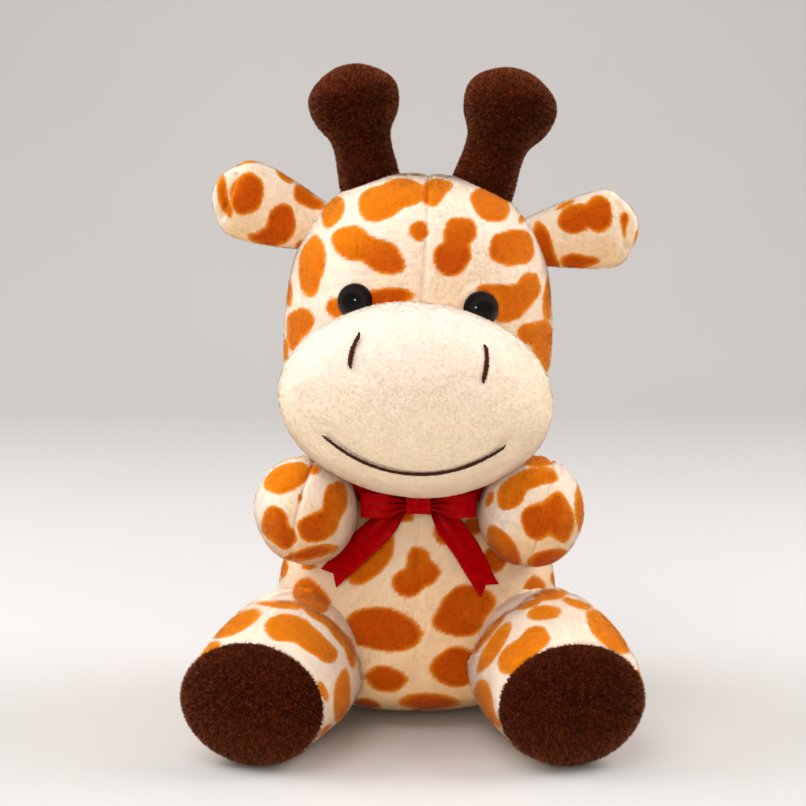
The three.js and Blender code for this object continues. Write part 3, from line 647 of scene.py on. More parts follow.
class Look:
    """A material made of nodes round one shader."""

    def __init__(self, name):
        self.material = bpy.data.materials.new(name)
        self.material.use_nodes = True
        self.nodes = self.material.node_tree.nodes
        self.shader = self.nodes["Principled BSDF"]

    def link(self, output, socket):
        self.material.node_tree.links.new(output, socket)

    def noise(self, scale, detail=3.0, vector=None):
        texture = self.nodes.new("ShaderNodeTexNoise")
        set_values(texture, {"Scale": scale, "Detail": detail})
        if vector is None:
            vector = self.nodes.new("ShaderNodeTexCoord").outputs["Object"]
        self.link(vector, texture.inputs["Vector"])
        return texture.outputs["Fac"]

    def between(self, low, high, share, ends=(0.0, 1.0)):
        """A colour from low to high, by share."""
        ramp = self.nodes.new("ShaderNodeValToRGB")
        for element, rgb, place in zip(ramp.color_ramp.elements, (low, high), ends):
            element.color = (*rgb, 1)
            element.position = place
        self.link(share, ramp.inputs["Fac"])
        return ramp.outputs["Color"]

    def paint(self, colour):
        self.link(colour, self.shader.inputs["Base Color"])

    def paint_on_tint(self, colour):
        """Paint with the mesh's own Tint times a colour."""
        attribute = self.nodes.new("ShaderNodeAttribute")
        attribute.attribute_name = "Tint"
        mix = self.nodes.new("ShaderNodeMixRGB")
        mix.blend_type = "MULTIPLY"
        set_values(mix, {"Fac": 1.0})
        self.link(attribute.outputs["Color"], mix.inputs["Color1"])
        self.link(colour, mix.inputs["Color2"])
        self.paint(mix.outputs["Color"])

    def raise_by(self, height, strength, distance):
        relief = self.nodes.new("ShaderNodeBump")
        set_values(relief, {"Strength": strength, "Distance": distance * MM})
        self.link(height, relief.inputs["Height"])
        self.link(relief.outputs["Normal"], self.shader.inputs["Normal"])


def plush_material(name, sheen, sheen_tint, is_pile):
    look = Look(name)
    look.paint_on_tint(look.between(*PLUSH_MOTTLE, look.noise(260.0), (0.3, 0.7)))
    set_values(look.shader, {"Roughness": 0.95, "Specular IOR Level": 0.08})
    set_values(look.shader, {"Sheen Weight": sheen, "Sheen Roughness": 0.5, "Sheen Tint": (*sheen_tint, 1)})
    if is_pile:
        # A blade is shaded by the cloth's direction, whichever of its two faces shows
        geometry = look.nodes.new("ShaderNodeNewGeometry")
        turn = look.nodes.new("ShaderNodeMath")
        turn.operation = "MULTIPLY_ADD"
        set_values(turn, {1: -2.0, 2: 1.0})
        look.link(geometry.outputs["Backfacing"], turn.inputs[0])
        scale = look.nodes.new("ShaderNodeVectorMath")
        scale.operation = "SCALE"
        look.link(geometry.outputs["Normal"], scale.inputs[0])
        look.link(turn.outputs["Value"], scale.inputs["Scale"])
        look.link(scale.outputs["Vector"], look.shader.inputs["Normal"])
    return look.material


def plain_material(name, rgb, roughness, noise_scale, bump, sheen=0.0):
    look = Look(name)
    set_values(look.shader, {"Roughness": roughness, "Specular IOR Level": 0.15, "Sheen Weight": sheen})
    grain = look.noise(noise_scale)
    look.paint(look.between(rgb * 0.86, rgb, grain))
    look.raise_by(grain, bump, 0.2)
    return look.material


CREAM_SHEEN = (1.0, 0.9, 0.75)
plush = plush_material("plush_backing", 0.08, CREAM_SHEEN, is_pile=False)
plush_pile = plush_material("plush_pile", 0.1, CREAM_SHEEN, is_pile=True)
brown_backing = plush_material("brown_backing", 0.1, (0.8, 0.5, 0.4), is_pile=False)
brown_pile = plush_material("brown_pile", 0.26, (0.9, 0.34, 0.16), is_pile=True)

# Pile: one short blade for each fibre. Fibres lean with the nap and gather in tufts.


@dataclass
class Coat:
    """A kind of plush: density in fibres for a square millimetre, lean in degrees."""

    slot: str
    backing: bpy.types.Material
    pile: bpy.types.Material
    density: float
    length: float
    width: float
    lean: float
    inset: float
    tuft: float
    gather: float
    curl: float
    grain: float
    depth_shade: float


SHORT = Coat(
    "spotted_plush", plush, plush_pile, density=6.4, length=0.7, width=0.22, lean=50, inset=0.5,
    tuft=1.2, gather=0.16, curl=0.6, grain=0.06, depth_shade=0.9,
)
MUZZLE = replace(
    SHORT, slot="muzzle_plush", length=0.65, inset=0.45, tuft=0.8, gather=0.08, curl=0.4, grain=0.035,
    depth_shade=0.97,
)
BROWN = Coat(
    "brown_plush", brown_backing, brown_pile, density=13.0, length=1.25, width=0.27, lean=30, inset=1.0,
    tuft=0.65, gather=0.55, curl=1.6, grain=0.3, depth_shade=0.42,
)
COATS = {"horn": BROWN, "sole": BROWN, "tuft": BROWN, "muzzle": MUZZLE}
# Painted shade: the backing between the fibres is darker than the pile
BROWN_BACKING_SHADE, PALE_BACKING_SHADE = 0.55, 0.93
PLAIN_DETAIL = (110, 90)
DETAIL = {
    "head": (240, 170), "body": (240, 150), "muzzle": (260, 170), "leg": (180, 130), "arm": (150, 110),
}
SKIN_NODES = {"tail": "tail_cord", "tuft": "tail_tuft", **{f"{name}_sole": f"{name}_sole" for name in SIDES}}
DEEPEST = 2.0
HIDDEN_DEPTH = 1.6
RIDGE_STEP = 1.6
OUTER_SWELL = 2.4
SEAM_DEPTHS = {
    "head": 1.3, "body": 0.6, "left_arm": 1.2, "right_arm": 1.2, "left_leg": 0.4, "right_leg": 0.5,
}
SEAM_LEANS = {"left_arm": (0.22, 0.0), "right_arm": (0.25, 1.8)}
CHEEK_CREASE = np.array([[-33.4, -11.8], [-36.8, -10.2], [-38.6, -6.5], [-39.4, -1.0]])


def tufts(roots, spacing, density, random):
    """For each fibre, the index of the fibre in the middle of its tuft."""
    count = max(1, int(len(roots) / (density * spacing**2)))
    middles = random.choice(len(roots), count, replace=False)
    tree = KDTree(count)
    for k, middle in enumerate(middles):
        tree.insert(roots[middle], k)
    tree.balance()
    return middles[[tree.find(root)[1] for root in roots]]


LEAN_SPREAD = 10
LENGTH_SPREAD = (0.75, 1.15)
TIP_LIGHT = 1.03
PILE_FLOOR, CLOTH_FLOOR = 0.02, 0.15


def pile_object(name, roots, ways, tint_at, coat, random):
    """The pile of one form; tint_at gives the colours at some points and surface directions."""
    count = len(roots)
    middles = tufts(roots, coat.tuft, coat.density, random)
    nap = -UP - ways * (ways @ -UP)[:, None]
    nap = nap / np.maximum(np.linalg.norm(nap, axis=1, keepdims=True), 0.35)
    own = unit(np.cross(ways, random.normal(size=(count, 3))))
    lay = unit(0.7 * nap + coat.curl * own[middles] + 0.5 * own)
    lay = unit(lay - ways * (lay * ways).sum(1)[:, None])
    angle = np.radians(random.normal(coat.lean, LEAN_SPREAD, count).clip(5, 80))[:, None]
    lengths = (coat.length * random.uniform(*LENGTH_SPREAD, count))[:, None]
    gathered = (roots[middles] - roots) * coat.gather
    shift = lay * np.sin(angle) * lengths + gathered
    tips = roots + shift + ways * np.cos(angle) * lengths
    aside = unit(np.cross(ways, lay)) * (coat.width / 2)
    corners = np.stack([roots - aside, roots + aside, tips], 1).reshape(-1, 3)
    corners[:, 2] = np.maximum(corners[:, 2], PILE_FLOOR)
    shading = unit(ways + coat.gather * (0.4 * lay + 0.3 * coat.curl * own[middles]))
    faces = np.arange(3 * count).reshape(-1, 3)
    piece = mesh_object(name, corners, faces, np.repeat(shading, 3, axis=0))
    light = random.normal(0, coat.grain, count)[middles] + random.normal(0, coat.grain * 0.7, count)
    light = np.clip(light, -2.2 * coat.grain, 1.8 * coat.grain)
    colours = tint_at(roots + shift * 0.5, ways, light)
    low = colours * coat.depth_shade
    tint(piece, np.stack([low, low, colours * TIP_LIGHT], 1).reshape(-1, 3))
    piece.visible_shadow = coat is BROWN
    wear(piece, coat.pile)
    return piece


EYE_RADIUS = 7
EYE_DENT = -0.38
EYE_SIDEWAYS = 23.9
EYE_SHIFT = -1.3
EYE_HEIGHT = 66.5
EYE_AIM_SHARE = 0.6
eye_places, eye_ways = {}, {}
for name, side in SIDES.items():
    x = EYE_SHIFT + side * EYE_SIDEWAYS
    half, _, minus = forms["head"].section(np.array([float(EYE_HEIGHT)]))
    y = -minus[0] * math.sqrt(1 - (x / half[0]) ** 2)
    eye_places[name] = on_head(x, y, EYE_HEIGHT)
    eye_ways[name] = head_axes @ unit([EYE_AIM_SHARE * x / half[0], -1, 0])

MOUTH_HALF_WIDTH = 33.4
MOUTH_LOWEST = 7.2
MOUTH_RISE = 12.0
MOUTH_POWER = 2.1
NOSTRIL_HEIGHTS = {"left": 51.0, "right": 49.2}
NOSTRIL_SIDEWAYS = 23.6
NOSTRIL_LENGTHS = {"left": 11.4, "right": 12.4}
NOSTRIL_BOW = 0.9
NOSTRIL_LEANS = {"left": 1.4, "right": 0.3}
FRONT_OF_MUZZLE = 50


def mouth_line(count):
    share = np.linspace(-1, 1, count)
    height = MOUTH_LOWEST - MUZZLE_HEIGHT + MOUTH_RISE * np.abs(share) ** MOUTH_POWER
    return np.stack([share * MOUTH_HALF_WIDTH, height], 1)


def nostril_line(name, count):
    share = np.linspace(-1, 1, count)
    x = SIDES[name] * (NOSTRIL_SIDEWAYS + NOSTRIL_BOW * (1 - share**2)) + NOSTRIL_LEANS[name] * share
    return np.stack([x, NOSTRIL_HEIGHTS[name] - MUZZLE_HEIGHT + share * NOSTRIL_LENGTHS[name] / 2], 1)


def line_distance(places, line):
    best = np.full(len(places), 1e9)
    for a, b in zip(line[:-1], line[1:]):
        way = b - a
        share = np.clip((places - a) @ way / (way @ way), 0, 1)
        best = np.minimum(best, np.linalg.norm(places - a - share[:, None] * way, axis=1))
    return best


stitch_lines = [mouth_line(33), nostril_line("left", 9), nostril_line("right", 9)]


def from_seam(name, points):
    """How far each point lies from the seam round its form, which runs along the form's middle."""
    x, y, _ = forms[name].local(points).T
    slope, offset = SEAM_LEANS.get(name, (0, 0))
    return np.abs(x - slope * y - offset)


def dent(distance, reach, power=2):
    return np.exp(-((distance / reach) ** power))


BROWN_SOFTENING = 0.4
CHEEK_DEPTHS = [(0.2, 1.2), (1.0, 5.5)]
STITCH_DEPTHS = [(0.5, 1.0), (0.5, 5.0)]
SEAM_SHAPE = [(1.0, 0.55), (0.4, 2.2)]
EAR_FOLD = [(1.6, 0.8), (0.8, 4)]
EAR_FOLD_PLACE, EAR_FOLD_HALF = 36, 9
MOUTH_CORNER_DEPTH, MOUTH_CORNER_REACH = 0.9, 4


def dents(distance, shapes):
    return sum(depth * dent(distance, reach) for depth, reach in shapes)


def sunk(name, points):
    """How far the backing lies in at seams, eyes and stitches, and by unevenness of the filling."""
    uneven = 0.35 * ripple(points, 26.0, 7) + 0.12 * ripple(points, 9.0, 8)
    seam = from_seam(name, points)
    inward = SEAM_DEPTHS.get(name, 0) * dents(seam, SEAM_SHAPE) - uneven
    x, y, at = forms[name].local(points).T
    if name == "head":
        for place in eye_places.values():
            near = smooth(EYE_RADIUS + 3.5, EYE_RADIUS + 1.5, np.linalg.norm(points - place, axis=1))
            inward = inward * (1 - near) + EYE_DENT * near
    if name == "muzzle":
        places = np.stack([x, y], 1)
        front = at > FRONT_OF_MUZZLE
        for line in stitch_lines:
            inward += front * dents(line_distance(places, line), STITCH_DEPTHS)
        inward += front * dents(line_distance(places, CHEEK_CREASE), CHEEK_DEPTHS)
        corner = np.linalg.norm(places - stitch_lines[0][-1], axis=1)
        inward += front * MOUTH_CORNER_DEPTH * dent(corner, MOUTH_CORNER_REACH)
    if name.endswith("ear"):
        slit = np.hypot(np.maximum(np.abs(y) - EAR_FOLD_HALF, 0), at - EAR_FOLD_PLACE)
        inward += dents(slit, EAR_FOLD)
    if COATS.get(kind_of(name)) is BROWN:
        inward *= BROWN_SOFTENING
    return inward


def behind_ridge(name, points, normals):
    """How far each point lies behind the ridge of its leg as the camera sees it, below 0 before it."""
    pixels, scale = photo_places(points)
    nearest, behind = np.full(len(points), 1e9), np.full(len(points), OUTSIDE)
    line = np.array(LEG_RIDGES[name], float)
    for a, b in zip(line[:-1], line[1:]):
        way, offset = b - a, pixels - a
        share = np.clip(offset @ way / (way @ way), 0, 1)
        distance = np.linalg.norm(offset - share[:, None] * way, axis=1) / scale
        side = np.sign(way[1] * offset[:, 0] - way[0] * offset[:, 1])
        behind = np.where(distance < nearest, side * distance, behind)
        nearest = np.minimum(nearest, distance)
    return np.where(towards_camera(points, normals) > 0, behind, OUTSIDE)


def sculpted(name, points, normals, inset):
    inward = np.clip(sunk(name, points), -inset * 0.8, DEEPEST - inset)
    if name in LEG_RIDGES:
        behind = behind_ridge(name, points, normals)
        inward += RIDGE_STEP * smooth(0.0, 2.5, behind) - 0.5 * dent(behind + 2.5, 2.5)
        inward = np.minimum(inward, DEEPEST - inset)
    if name == "right_leg":
        x, y, at = forms[name].local(points).T
        outer = smooth(0.1, 1.0, (0.9 * x + 0.44 * y) / np.maximum(np.hypot(x, y), 1))
        inward -= OUTER_SWELL * outer * smooth(0, 22, at) * (1 - smooth(52, 68, at))
    moved = points - normals * inward[:, None]
    moved[:, 2] = np.maximum(moved[:, 2], CLOTH_FLOOR)
    return moved


def brown_tint(name, places, height, light):
    # Painted light: lighter facing the light, on the low part of a sole and on the top of a horn
    sole_light = SOLE_BOUNCE_LIGHT * smooth(6, -22, forms[name].local(places)[:, 1]) * name.endswith("sole")
    above = HORN_TOP_LIGHT * smooth(0.3, 0.9, height) * name.endswith("horn")
    lit = BROWN_LIT * smooth(-0.2, 0.9, height)
    return blended(DARK_BROWN, LIGHT_BROWN, np.clip(BROWN_BASE + lit + sole_light + above + light, 0, 1))


def spotted_tint(name, ways, height, shade, light, depth, random):
    """Cream cloth with printed patches; depth is how far inside a patch each point lies."""
    # Painted light and shade: cream lighter where it faces the light and where it faces sideways
    beside = smooth(0.15, 0.85, np.abs(ways[:, 0]))
    lit = smooth(-0.2, 0.9, height) + 0.6 * beside
    cream = blended(SHADED_CREAM, CREAM, np.clip(lit - shade, 0, 1))
    # Painted shade on the body's cream
    if name == "body":
        cream = cream * BODY_PAINTED_SHADE
    # Painted light and shade on the orange: lighter facing up and sideways, and on the legs
    orange_lit_share = smooth(0.45, 1.0, height) + SIDE_PAINTED_LIGHT * beside - shade
    orange_lit_share += LEG_PAINTED_LIGHT * name.endswith("leg")
    orange = blended(SHADED_ORANGE, ORANGE, np.clip(orange_lit_share, 0, 1))
    orange = blended(EDGE_ORANGE, orange, smooth(-0.1, 1.5, depth))
    printed = smooth(-0.22, 0.22, depth + random.normal(0, 0.08, len(depth)))
    orange = orange * (1 + 2.6 * light)[:, None]
    return blended(cream * (1 + 0.8 * light)[:, None], orange, printed)


def shadowed(name, cloth, places, ways):
    """Painted shade, darker and warmer, at the ridge of a leg and on the body beside the bow, and painted
    light on a leg behind its ridge.
    """
    if name in LEG_RIDGES:
        behind = behind_ridge(name, places, ways)
        dark = LEG_CREASE_SHADE * smooth(-0.5, 0.1, behind) * dent(behind, 0.8)
        painted_light = 1 + BEHIND_RIDGE_PAINTED_LIGHT * smooth(0.4, 2.0, behind)
        return cloth * (1 - dark[:, None] * WARM_SHADOW) * painted_light[:, None]
    if name == "body":
        x, _, z = places.T
        # Painted shade beside the bow, under the arms
        dark = UNDER_ARMS_SHADE * smooth(9, 17, np.abs(x)) * smooth(68, 79, z) * (ways[:, 1] < 0)
        return cloth * (1 - dark[:, None] * WARM_SHADOW)
    return cloth


def dressed(name):
    """The backing and the pile of one stuffed form."""
    form = forms[name]
    coat = COATS.get(kind_of(name), SHORT)
    random = np.random.default_rng(sum(map(ord, name)) + 5)
    points, faces = form.grid(*DETAIL.get(kind_of(name), PLAIN_DETAIL), coat.inset)
    points = sculpted(name, points, vertex_normals(points, faces), coat.inset)
    normals = vertex_normals(points, faces)
    patches = Patches(name, points, faces, normals)

    def tint_at(places, ways, light):
        height = ways @ LIGHT_WAY
        if coat is BROWN:
            return brown_tint(name, places, height, light)
        shade = CLOTH_SHADE * smooth(-1, 1, ripple(places, 14.0, 4))
        if coat is MUZZLE:
            lit = np.clip(smooth(-0.2, 0.9, height) - shade, 0, 1)
            return blended(SHADED_MUZZLE, MUZZLE_CREAM, lit) * (1 + light)[:, None]
        depth = patches.depth(places, ways)
        cloth = spotted_tint(name, ways, height, shade, light, depth, random)
        return shadowed(name, cloth, places, ways)

    backing = mesh_object(f"{name}_plush", points, faces)
    backing_colours = tint_at(points, normals, np.zeros(len(points)))
    # Painted shade on the backing, which shows between the fibres
    tint(backing, backing_colours * (BROWN_BACKING_SHADE if coat is BROWN else PALE_BACKING_SHADE))
    wear(backing, coat.backing)
    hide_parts(SKIN_NODES.get(name, f"{name}_skin"))

    count = int(area_of(points, faces) * coat.density)
    roots, ways = sampled(points, faces, normals, count, random)
    bare = np.zeros(count, bool)
    for other_name, other in forms.items():
        if other_name != name:
            bare |= other.holds(roots, HIDDEN_DEPTH)
    bare |= dent(from_seam(name, roots), 0.3) * SEAM_DEPTHS.get(name, 0) > random.random(count)
    if name == "head":
        for place in eye_places.values():
            bare |= np.linalg.norm(roots - place, axis=1) < EYE_RADIUS + 0.2
    if name == "muzzle":
        x, y, at = form.local(roots).T
        for line in stitch_lines[1:]:
            bare |= (line_distance(np.stack([x, y], 1), line) < 0.4) & (at > FRONT_OF_MUZZLE)
    pile = pile_object(f"{name}_pile", roots[~bare], ways[~bare], tint_at, coat, random)
    for piece in (backing, pile):
        attach(name, piece)


BLEND_REACHES = {"arm": (-8, 0), "leg": (-8, 4), "horn": (-1, 8), "ear": (-1, 7)}


def attach(name, piece):
    """Everything but a limb rides on its body; a limb's piece only has its place baked into its mesh."""
    form = forms[name]
    kind = kind_of(name)
    if kind not in BLEND_REACHES:
        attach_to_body(piece, form.body)
        return
    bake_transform(piece)


for name in forms:
    dressed(name)


# Eyes


def eye_material():
    look = Look("eye_plastic")
    look.paint_on_tint(look.between(*EYE_MOTTLE, look.noise(60.0)))
    set_values(look.shader, {"Roughness": 0.05, "Specular IOR Level": 0.14})
    return look.material


def lathe(name, profile, place, way, around=64):
    """A closed turned piece: profile is (radius, height) from foot to tip, on the axis at both ends."""
    turns = np.arange(around) * 2 * math.pi / around
    circle = np.stack([np.cos(turns), np.sin(turns), np.zeros(around)], 1)
    rings = [radius * circle + [0, 0, height] for radius, height in profile[1:-1]]
    points = np.vstack([[0, 0, profile[0][1]], *rings, [0, 0, profile[-1][1]]])
    return mesh_object(name, place + points @ limb_basis(way).T, closed_faces(around, len(rings)))


IRIS_RADIUS = 4.6
SHANK_RADIUS, SHANK_LENGTH, SHANK_BEVEL = 2, 11, 0.4
EYE_FOOT, EYE_EDGE, EYE_BULGE = -1.2, 0.2, 5.4
eye_plastic = eye_material()
eye_profile = [
    (0, -SHANK_LENGTH),
    (SHANK_RADIUS - SHANK_BEVEL, -SHANK_LENGTH),
    (SHANK_RADIUS, SHANK_BEVEL - SHANK_LENGTH),
    (SHANK_RADIUS, EYE_FOOT),
    (EYE_RADIUS - 0.6, EYE_FOOT),
    (EYE_RADIUS - 0.1, EYE_FOOT + 0.3),
    (EYE_RADIUS, -EYE_EDGE),
    (EYE_RADIUS, EYE_EDGE),
]
for step in np.linspace(0, math.pi / 2, 22)[1:-1]:
    eye_profile.append((EYE_RADIUS * math.cos(step), EYE_EDGE + EYE_BULGE * math.sin(step)))
eye_profile.append((0, EYE_EDGE + EYE_BULGE))
for name in SIDES:
    eye = lathe(f"{name}_eye_button", eye_profile, eye_places[name], eye_ways[name])
    corners = np.array([corner.co for corner in eye.data.vertices]) / MM - eye_places[name]
    radius = np.linalg.norm(corners - np.outer(corners @ eye_ways[name], eye_ways[name]), axis=1)
    tint(eye, blended(PUPIL_BLACK, IRIS_BROWN, dent(radius - IRIS_RADIUS, 1.0)))
    wear(eye, eye_plastic)
    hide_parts(f"{name}_eye")
    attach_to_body(eye, "head")


# Embroidery: short threads that overlap along the mouth and the nostrils

thread = plain_material("thread", THREAD_BROWN, roughness=0.8, noise_scale=1800.0, bump=0.6, sheen=0.05)


def muzzle_front(x, y):
    """Where the muzzle form's front lies over a point of its cross section, before it is sculpted."""
    form = forms["muzzle"]
    low, high = form.span[1] - form.reaches[1], form.span[1]
    for _ in range(30):
        middle = (low + high) / 2
        half, plus, minus = form.section(np.array([middle]))
        inside = (x / half[0]) ** 2 + (y / plus[0]) ** 2 < 1
        low, high = (middle, high) if inside else (low, middle)
    return low


THREAD_SPACING = 0.46


def threads(name, line, node, seed, length, radius, twist, sunk_by):
    """A line of embroidery: twisted threads that overlap, each a tube that thins towards its ends."""
    random = np.random.default_rng(seed)
    spans = np.linalg.norm(np.diff(line, axis=0), axis=1)
    along = np.concatenate([[0], np.cumsum(spans)])

    def on_line(place):
        return np.array([np.interp(place, along, line[:, axis]) for axis in (0, 1)])

    count = int(along[-1] / (length * THREAD_SPACING))
    vertices, faces = [], []
    sides, rings = 8, 7
    for k in range(count):
        middle = along[-1] * (k + 0.5) / count
        at = on_line(middle)
        way = unit(on_line(middle + 0.2) - on_line(middle - 0.2))
        thin = 0.45 + 0.55 * math.sqrt(max(0, 1 - abs(2 * middle / along[-1] - 1) ** 6))
        turn = twist + random.normal(0, 0.12)
        across = np.array([-way[1], way[0]])
        way = way * math.cos(turn) + across * math.sin(turn)
        cross = np.array([-way[1], way[0]])
        base = len(vertices) * (sides * rings)
        tube = []
        for ring in np.linspace(-1, 1, rings):
            spot = at + way * ring * length / 2
            height = muzzle_front(*spot) - sunk_by + 0.4 * math.sqrt(max(0, 1 - ring**2))
            size = radius * thin * (0.35 + 0.65 * math.sqrt(max(0, 1 - ring**4)))
            for turn_step in np.arange(sides) * 2 * math.pi / sides:
                offset = cross * size * math.cos(turn_step)
                tube.append([spot[0] + offset[0], spot[1] + offset[1], height + size * math.sin(turn_step)])
        vertices.append(tube)
        for ring in range(rings - 1):
            for j in range(sides):
                a, b = base + ring * sides + j, base + ring * sides + (j + 1) % sides
                faces += [[a, b + sides, b], [a, a + sides, b + sides]]
        for j in range(1, sides - 1):
            faces.append([base, base + j, base + j + 1])
            end = base + (rings - 1) * sides
            faces.append([end, end + j + 1, end + j])
    points = forms["muzzle"].world(np.array(vertices).reshape(-1, 3))
    piece = mesh_object(name, points, np.array(faces))
    wear(piece, thread)
    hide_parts(node)
    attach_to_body(piece, "head")


mouth = {"length": 2.4, "radius": 0.43, "twist": 0.5, "sunk_by": 0.6}
nostril = {"length": 2.8, "radius": 0.62, "twist": 0.45, "sunk_by": 0.5}
threads("mouth_threads", mouth_line(60), "mouth_stitch", 11, **mouth)
for name in SIDES:
    threads(f"{name}_nostril_threads", nostril_line(name, 20), f"{name}_nostril_stitch", 12, **nostril)


# Ribbon


def satin_material():
    look = Look("satin")
    along_ribbon = look.nodes.new("ShaderNodeUVMap")
    along_ribbon.uv_map = "Ribbon"
    weave = look.nodes.new("ShaderNodeTexWave")
    weave.bands_direction = "X"
    set_values(weave, {"Scale": 0.9, "Distortion": 0.6})
    look.link(along_ribbon.outputs["UV"], weave.inputs["Vector"])
    cloudy = look.noise(0.35, 2.0, along_ribbon.outputs["UV"])
    look.paint_on_tint(look.between(DARK_RED, RED, cloudy, (0.3, 0.75)))
    set_values(look.shader, {"Roughness": 0.45, "Specular IOR Level": 0.03})
    look.raise_by(weave.outputs["Fac"], 0.12, 0.15)
    return look.material


satin = satin_material()
RIBBON_THICKNESS = 0.35
RIBBON_WIDTH = 10.0


def together(*values):
    return np.stack(np.broadcast_arrays(*values), -1)


def squared(wave, power):
    """A cosine or sine made flatter at its ends, which squares a round loop."""
    return np.sign(wave) * np.abs(wave) ** power


def phase_of(seed):
    return np.random.default_rng(seed).uniform(0, 2 * math.pi)


def ribbon_piece(name, node, surface, steps, length, closed=False, shade=None):
    """A strip of ribbon: surface gives the middle layer's points for shares along and across it."""
    along, across = steps
    u = np.linspace(0, 1, along)
    v = np.linspace(-1, 1, across)
    grid = surface(u[:, None], v[None, :])
    way_u, way_v = np.gradient(grid, axis=0), np.gradient(grid, axis=1)
    if closed:
        way_u[0] = way_u[-1] = grid[1] - grid[-2]
    normals = unit(np.cross(way_u, way_v))
    layers = [grid + normals * RIBBON_THICKNESS / 2, grid - normals * RIBBON_THICKNESS / 2]
    points = np.stack(layers).reshape(-1, 3)
    index = np.arange(2 * along * across).reshape(2, along, across)
    faces = []

    def quads(a, b, c, d):
        faces.append(np.stack([a, b, c, d], -1).reshape(-1, 4))

    top, low = index
    quads(top[:-1, :-1], top[1:, :-1], top[1:, 1:], top[:-1, 1:])
    quads(low[:-1, :-1], low[:-1, 1:], low[1:, 1:], low[1:, :-1])
    quads(top[:-1, 0], low[:-1, 0], low[1:, 0], top[1:, 0])
    quads(top[:-1, -1], top[1:, -1], low[1:, -1], low[:-1, -1])
    quads(top[0, :-1], top[0, 1:], low[0, 1:], low[0, :-1])
    quads(top[-1, :-1], low[-1, :-1], low[-1, 1:], top[-1, 1:])
    faces = np.vstack(faces)
    piece = mesh_object(name, points, faces)
    layer = piece.data.uv_layers.new(name="Ribbon")
    shares = together(u[:, None] * length, v[None, :] * RIBBON_WIDTH / 2)
    both = np.concatenate([shares.reshape(-1, 2)] * 2)
    layer.data.foreach_set("uv", both[faces.ravel()].astype(np.float32).ravel())
    # Painted shade: the Tint darkens the folds near the knot and the tops of the tails
    depth = shade(u[:, None], v[None, :]) if shade else np.ones((along, across))
    tint(piece, np.tile(depth.reshape(-1, 1), (2, 3)))
    wear(piece, satin)
    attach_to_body(piece, "torso")
    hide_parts(node)


def box_of(node):
    low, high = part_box(node)
    return np.array(low) / MM, np.array(high) / MM


def torso_front(x, z):
    half, _, minus = forms["body"].section(np.asarray(z, float))
    return -minus * np.sqrt(np.maximum(0.02, 1 - (x / half) ** 2))


knot_low, knot_high = box_of("bow_knot")
knot_middle = (knot_low + knot_high) / 2
knot_half = (knot_high - knot_low) / 2
band_low, band_high = box_of("neck_ribbon")
BAND_DROP = 5.0
BAND_GAP = 0.9
BAND_PLEAT = 0.35
BAND_LENGTH, KNOT_LENGTH, LOOP_LENGTH = 250, 30, 40
KNOT_SQUARENESS, LOOP_SQUARENESS = 0.7, 0.75
KNOT_PINCH = 0.1


def neck_band(u, v):
    turn = 2 * math.pi * u - math.pi / 2
    z = (band_low[2] + band_high[2]) / 2 + v * RIBBON_WIDTH / 2 + 0.5 * np.sin(3 * turn) + 0 * u
    z = z - BAND_DROP * smooth(-0.2, 1.0, np.sin(turn))
    half, _, minus = forms["body"].section(z)
    out = BAND_GAP + BAND_PLEAT * np.cos(2.5 * math.pi * v + 1.3 * np.sin(2 * turn))
    return np.stack([(half + out) * np.cos(turn), (minus + out) * np.sin(turn), z], -1)


def knot_surface(u, v):
    turn = 2 * math.pi * u
    flat = squared(np.cos(turn), KNOT_SQUARENESS)
    tall = squared(np.sin(turn), KNOT_SQUARENESS)
    pinch = 1 - KNOT_PINCH * (1 - v**2)
    crease = 0.13 * np.cos(5 * math.pi * v / 2) + 0.1 * np.cos(9 * v + 2 * turn)
    x = knot_middle[0] + v * knot_half[0] * (0.94 + 0.06 * flat**2)
    y = knot_middle[1] - (knot_half[1] + crease) * flat * pinch
    z = knot_middle[2] + (knot_half[2] - 0.5 + 0.5 * crease) * tall * pinch
    return together(x, y, z)


def loop_surface(side, low, high, seed):
    """One loop of the bow: out from the knot, over a square fold, and back behind."""
    phase = phase_of(seed)

    def share_out(u):
        return 0.02 + 0.48 * (1 - squared(np.cos(2 * math.pi * u), LOOP_SQUARENESS))

    def shade(u, v):
        folds = 0.5 - 0.5 * np.cos(3 * math.pi * v + phase)
        return 1 - (1 - smooth(0.02, 0.6, share_out(u))) * (0.25 + 0.6 * folds)

    def surface(u, v):
        x_share = share_out(u)
        first_x = abs(knot_middle[0]) + knot_half[0] - 0.8
        x = side * (first_x + x_share * (high[0] - low[0] + 0.5))
        open_share = smooth(0.0, 0.5, x_share)
        middle = (low[1] + high[1]) / 2
        depth = (high[1] - low[1]) / 2 - 0.3
        y = middle - np.sin(2 * math.pi * u) * depth * (0.35 + 0.65 * open_share)
        width = RIBBON_WIDTH / 2 * (0.42 + 0.54 * open_share)
        crease = (1 - smooth(0.0, 0.85, x_share)) * 0.7 * np.cos(3 * math.pi * v + phase)
        droop = 0.5 * (1 - x_share)
        z = (low[2] + high[2]) / 2 + v * width - droop * 0.4 + 0.25 * np.sin(3 * x_share + phase)
        y = y - crease - 0.3 * np.cos(2 * v + 4 * x_share + phase)
        return together(x, y, z)

    return surface, shade


ribbon_piece(
    "neck_band_cloth", "neck_ribbon", neck_band, steps=(160, 15), length=BAND_LENGTH,
    closed=True,
)
ribbon_piece(
    "bow_knot_cloth", "bow_knot", knot_surface, steps=(72, 31), length=KNOT_LENGTH,
    closed=True,
)
for name, side in SIDES.items():
    surface, shade = loop_surface(side, *box_of(f"bow_{name}_loop"), 30 + side)
    ribbon_piece(
        f"bow_{name}_loop_cloth", f"bow_{name}_loop", surface, steps=(96, 21), length=LOOP_LENGTH,
        closed=True, shade=shade,
    )

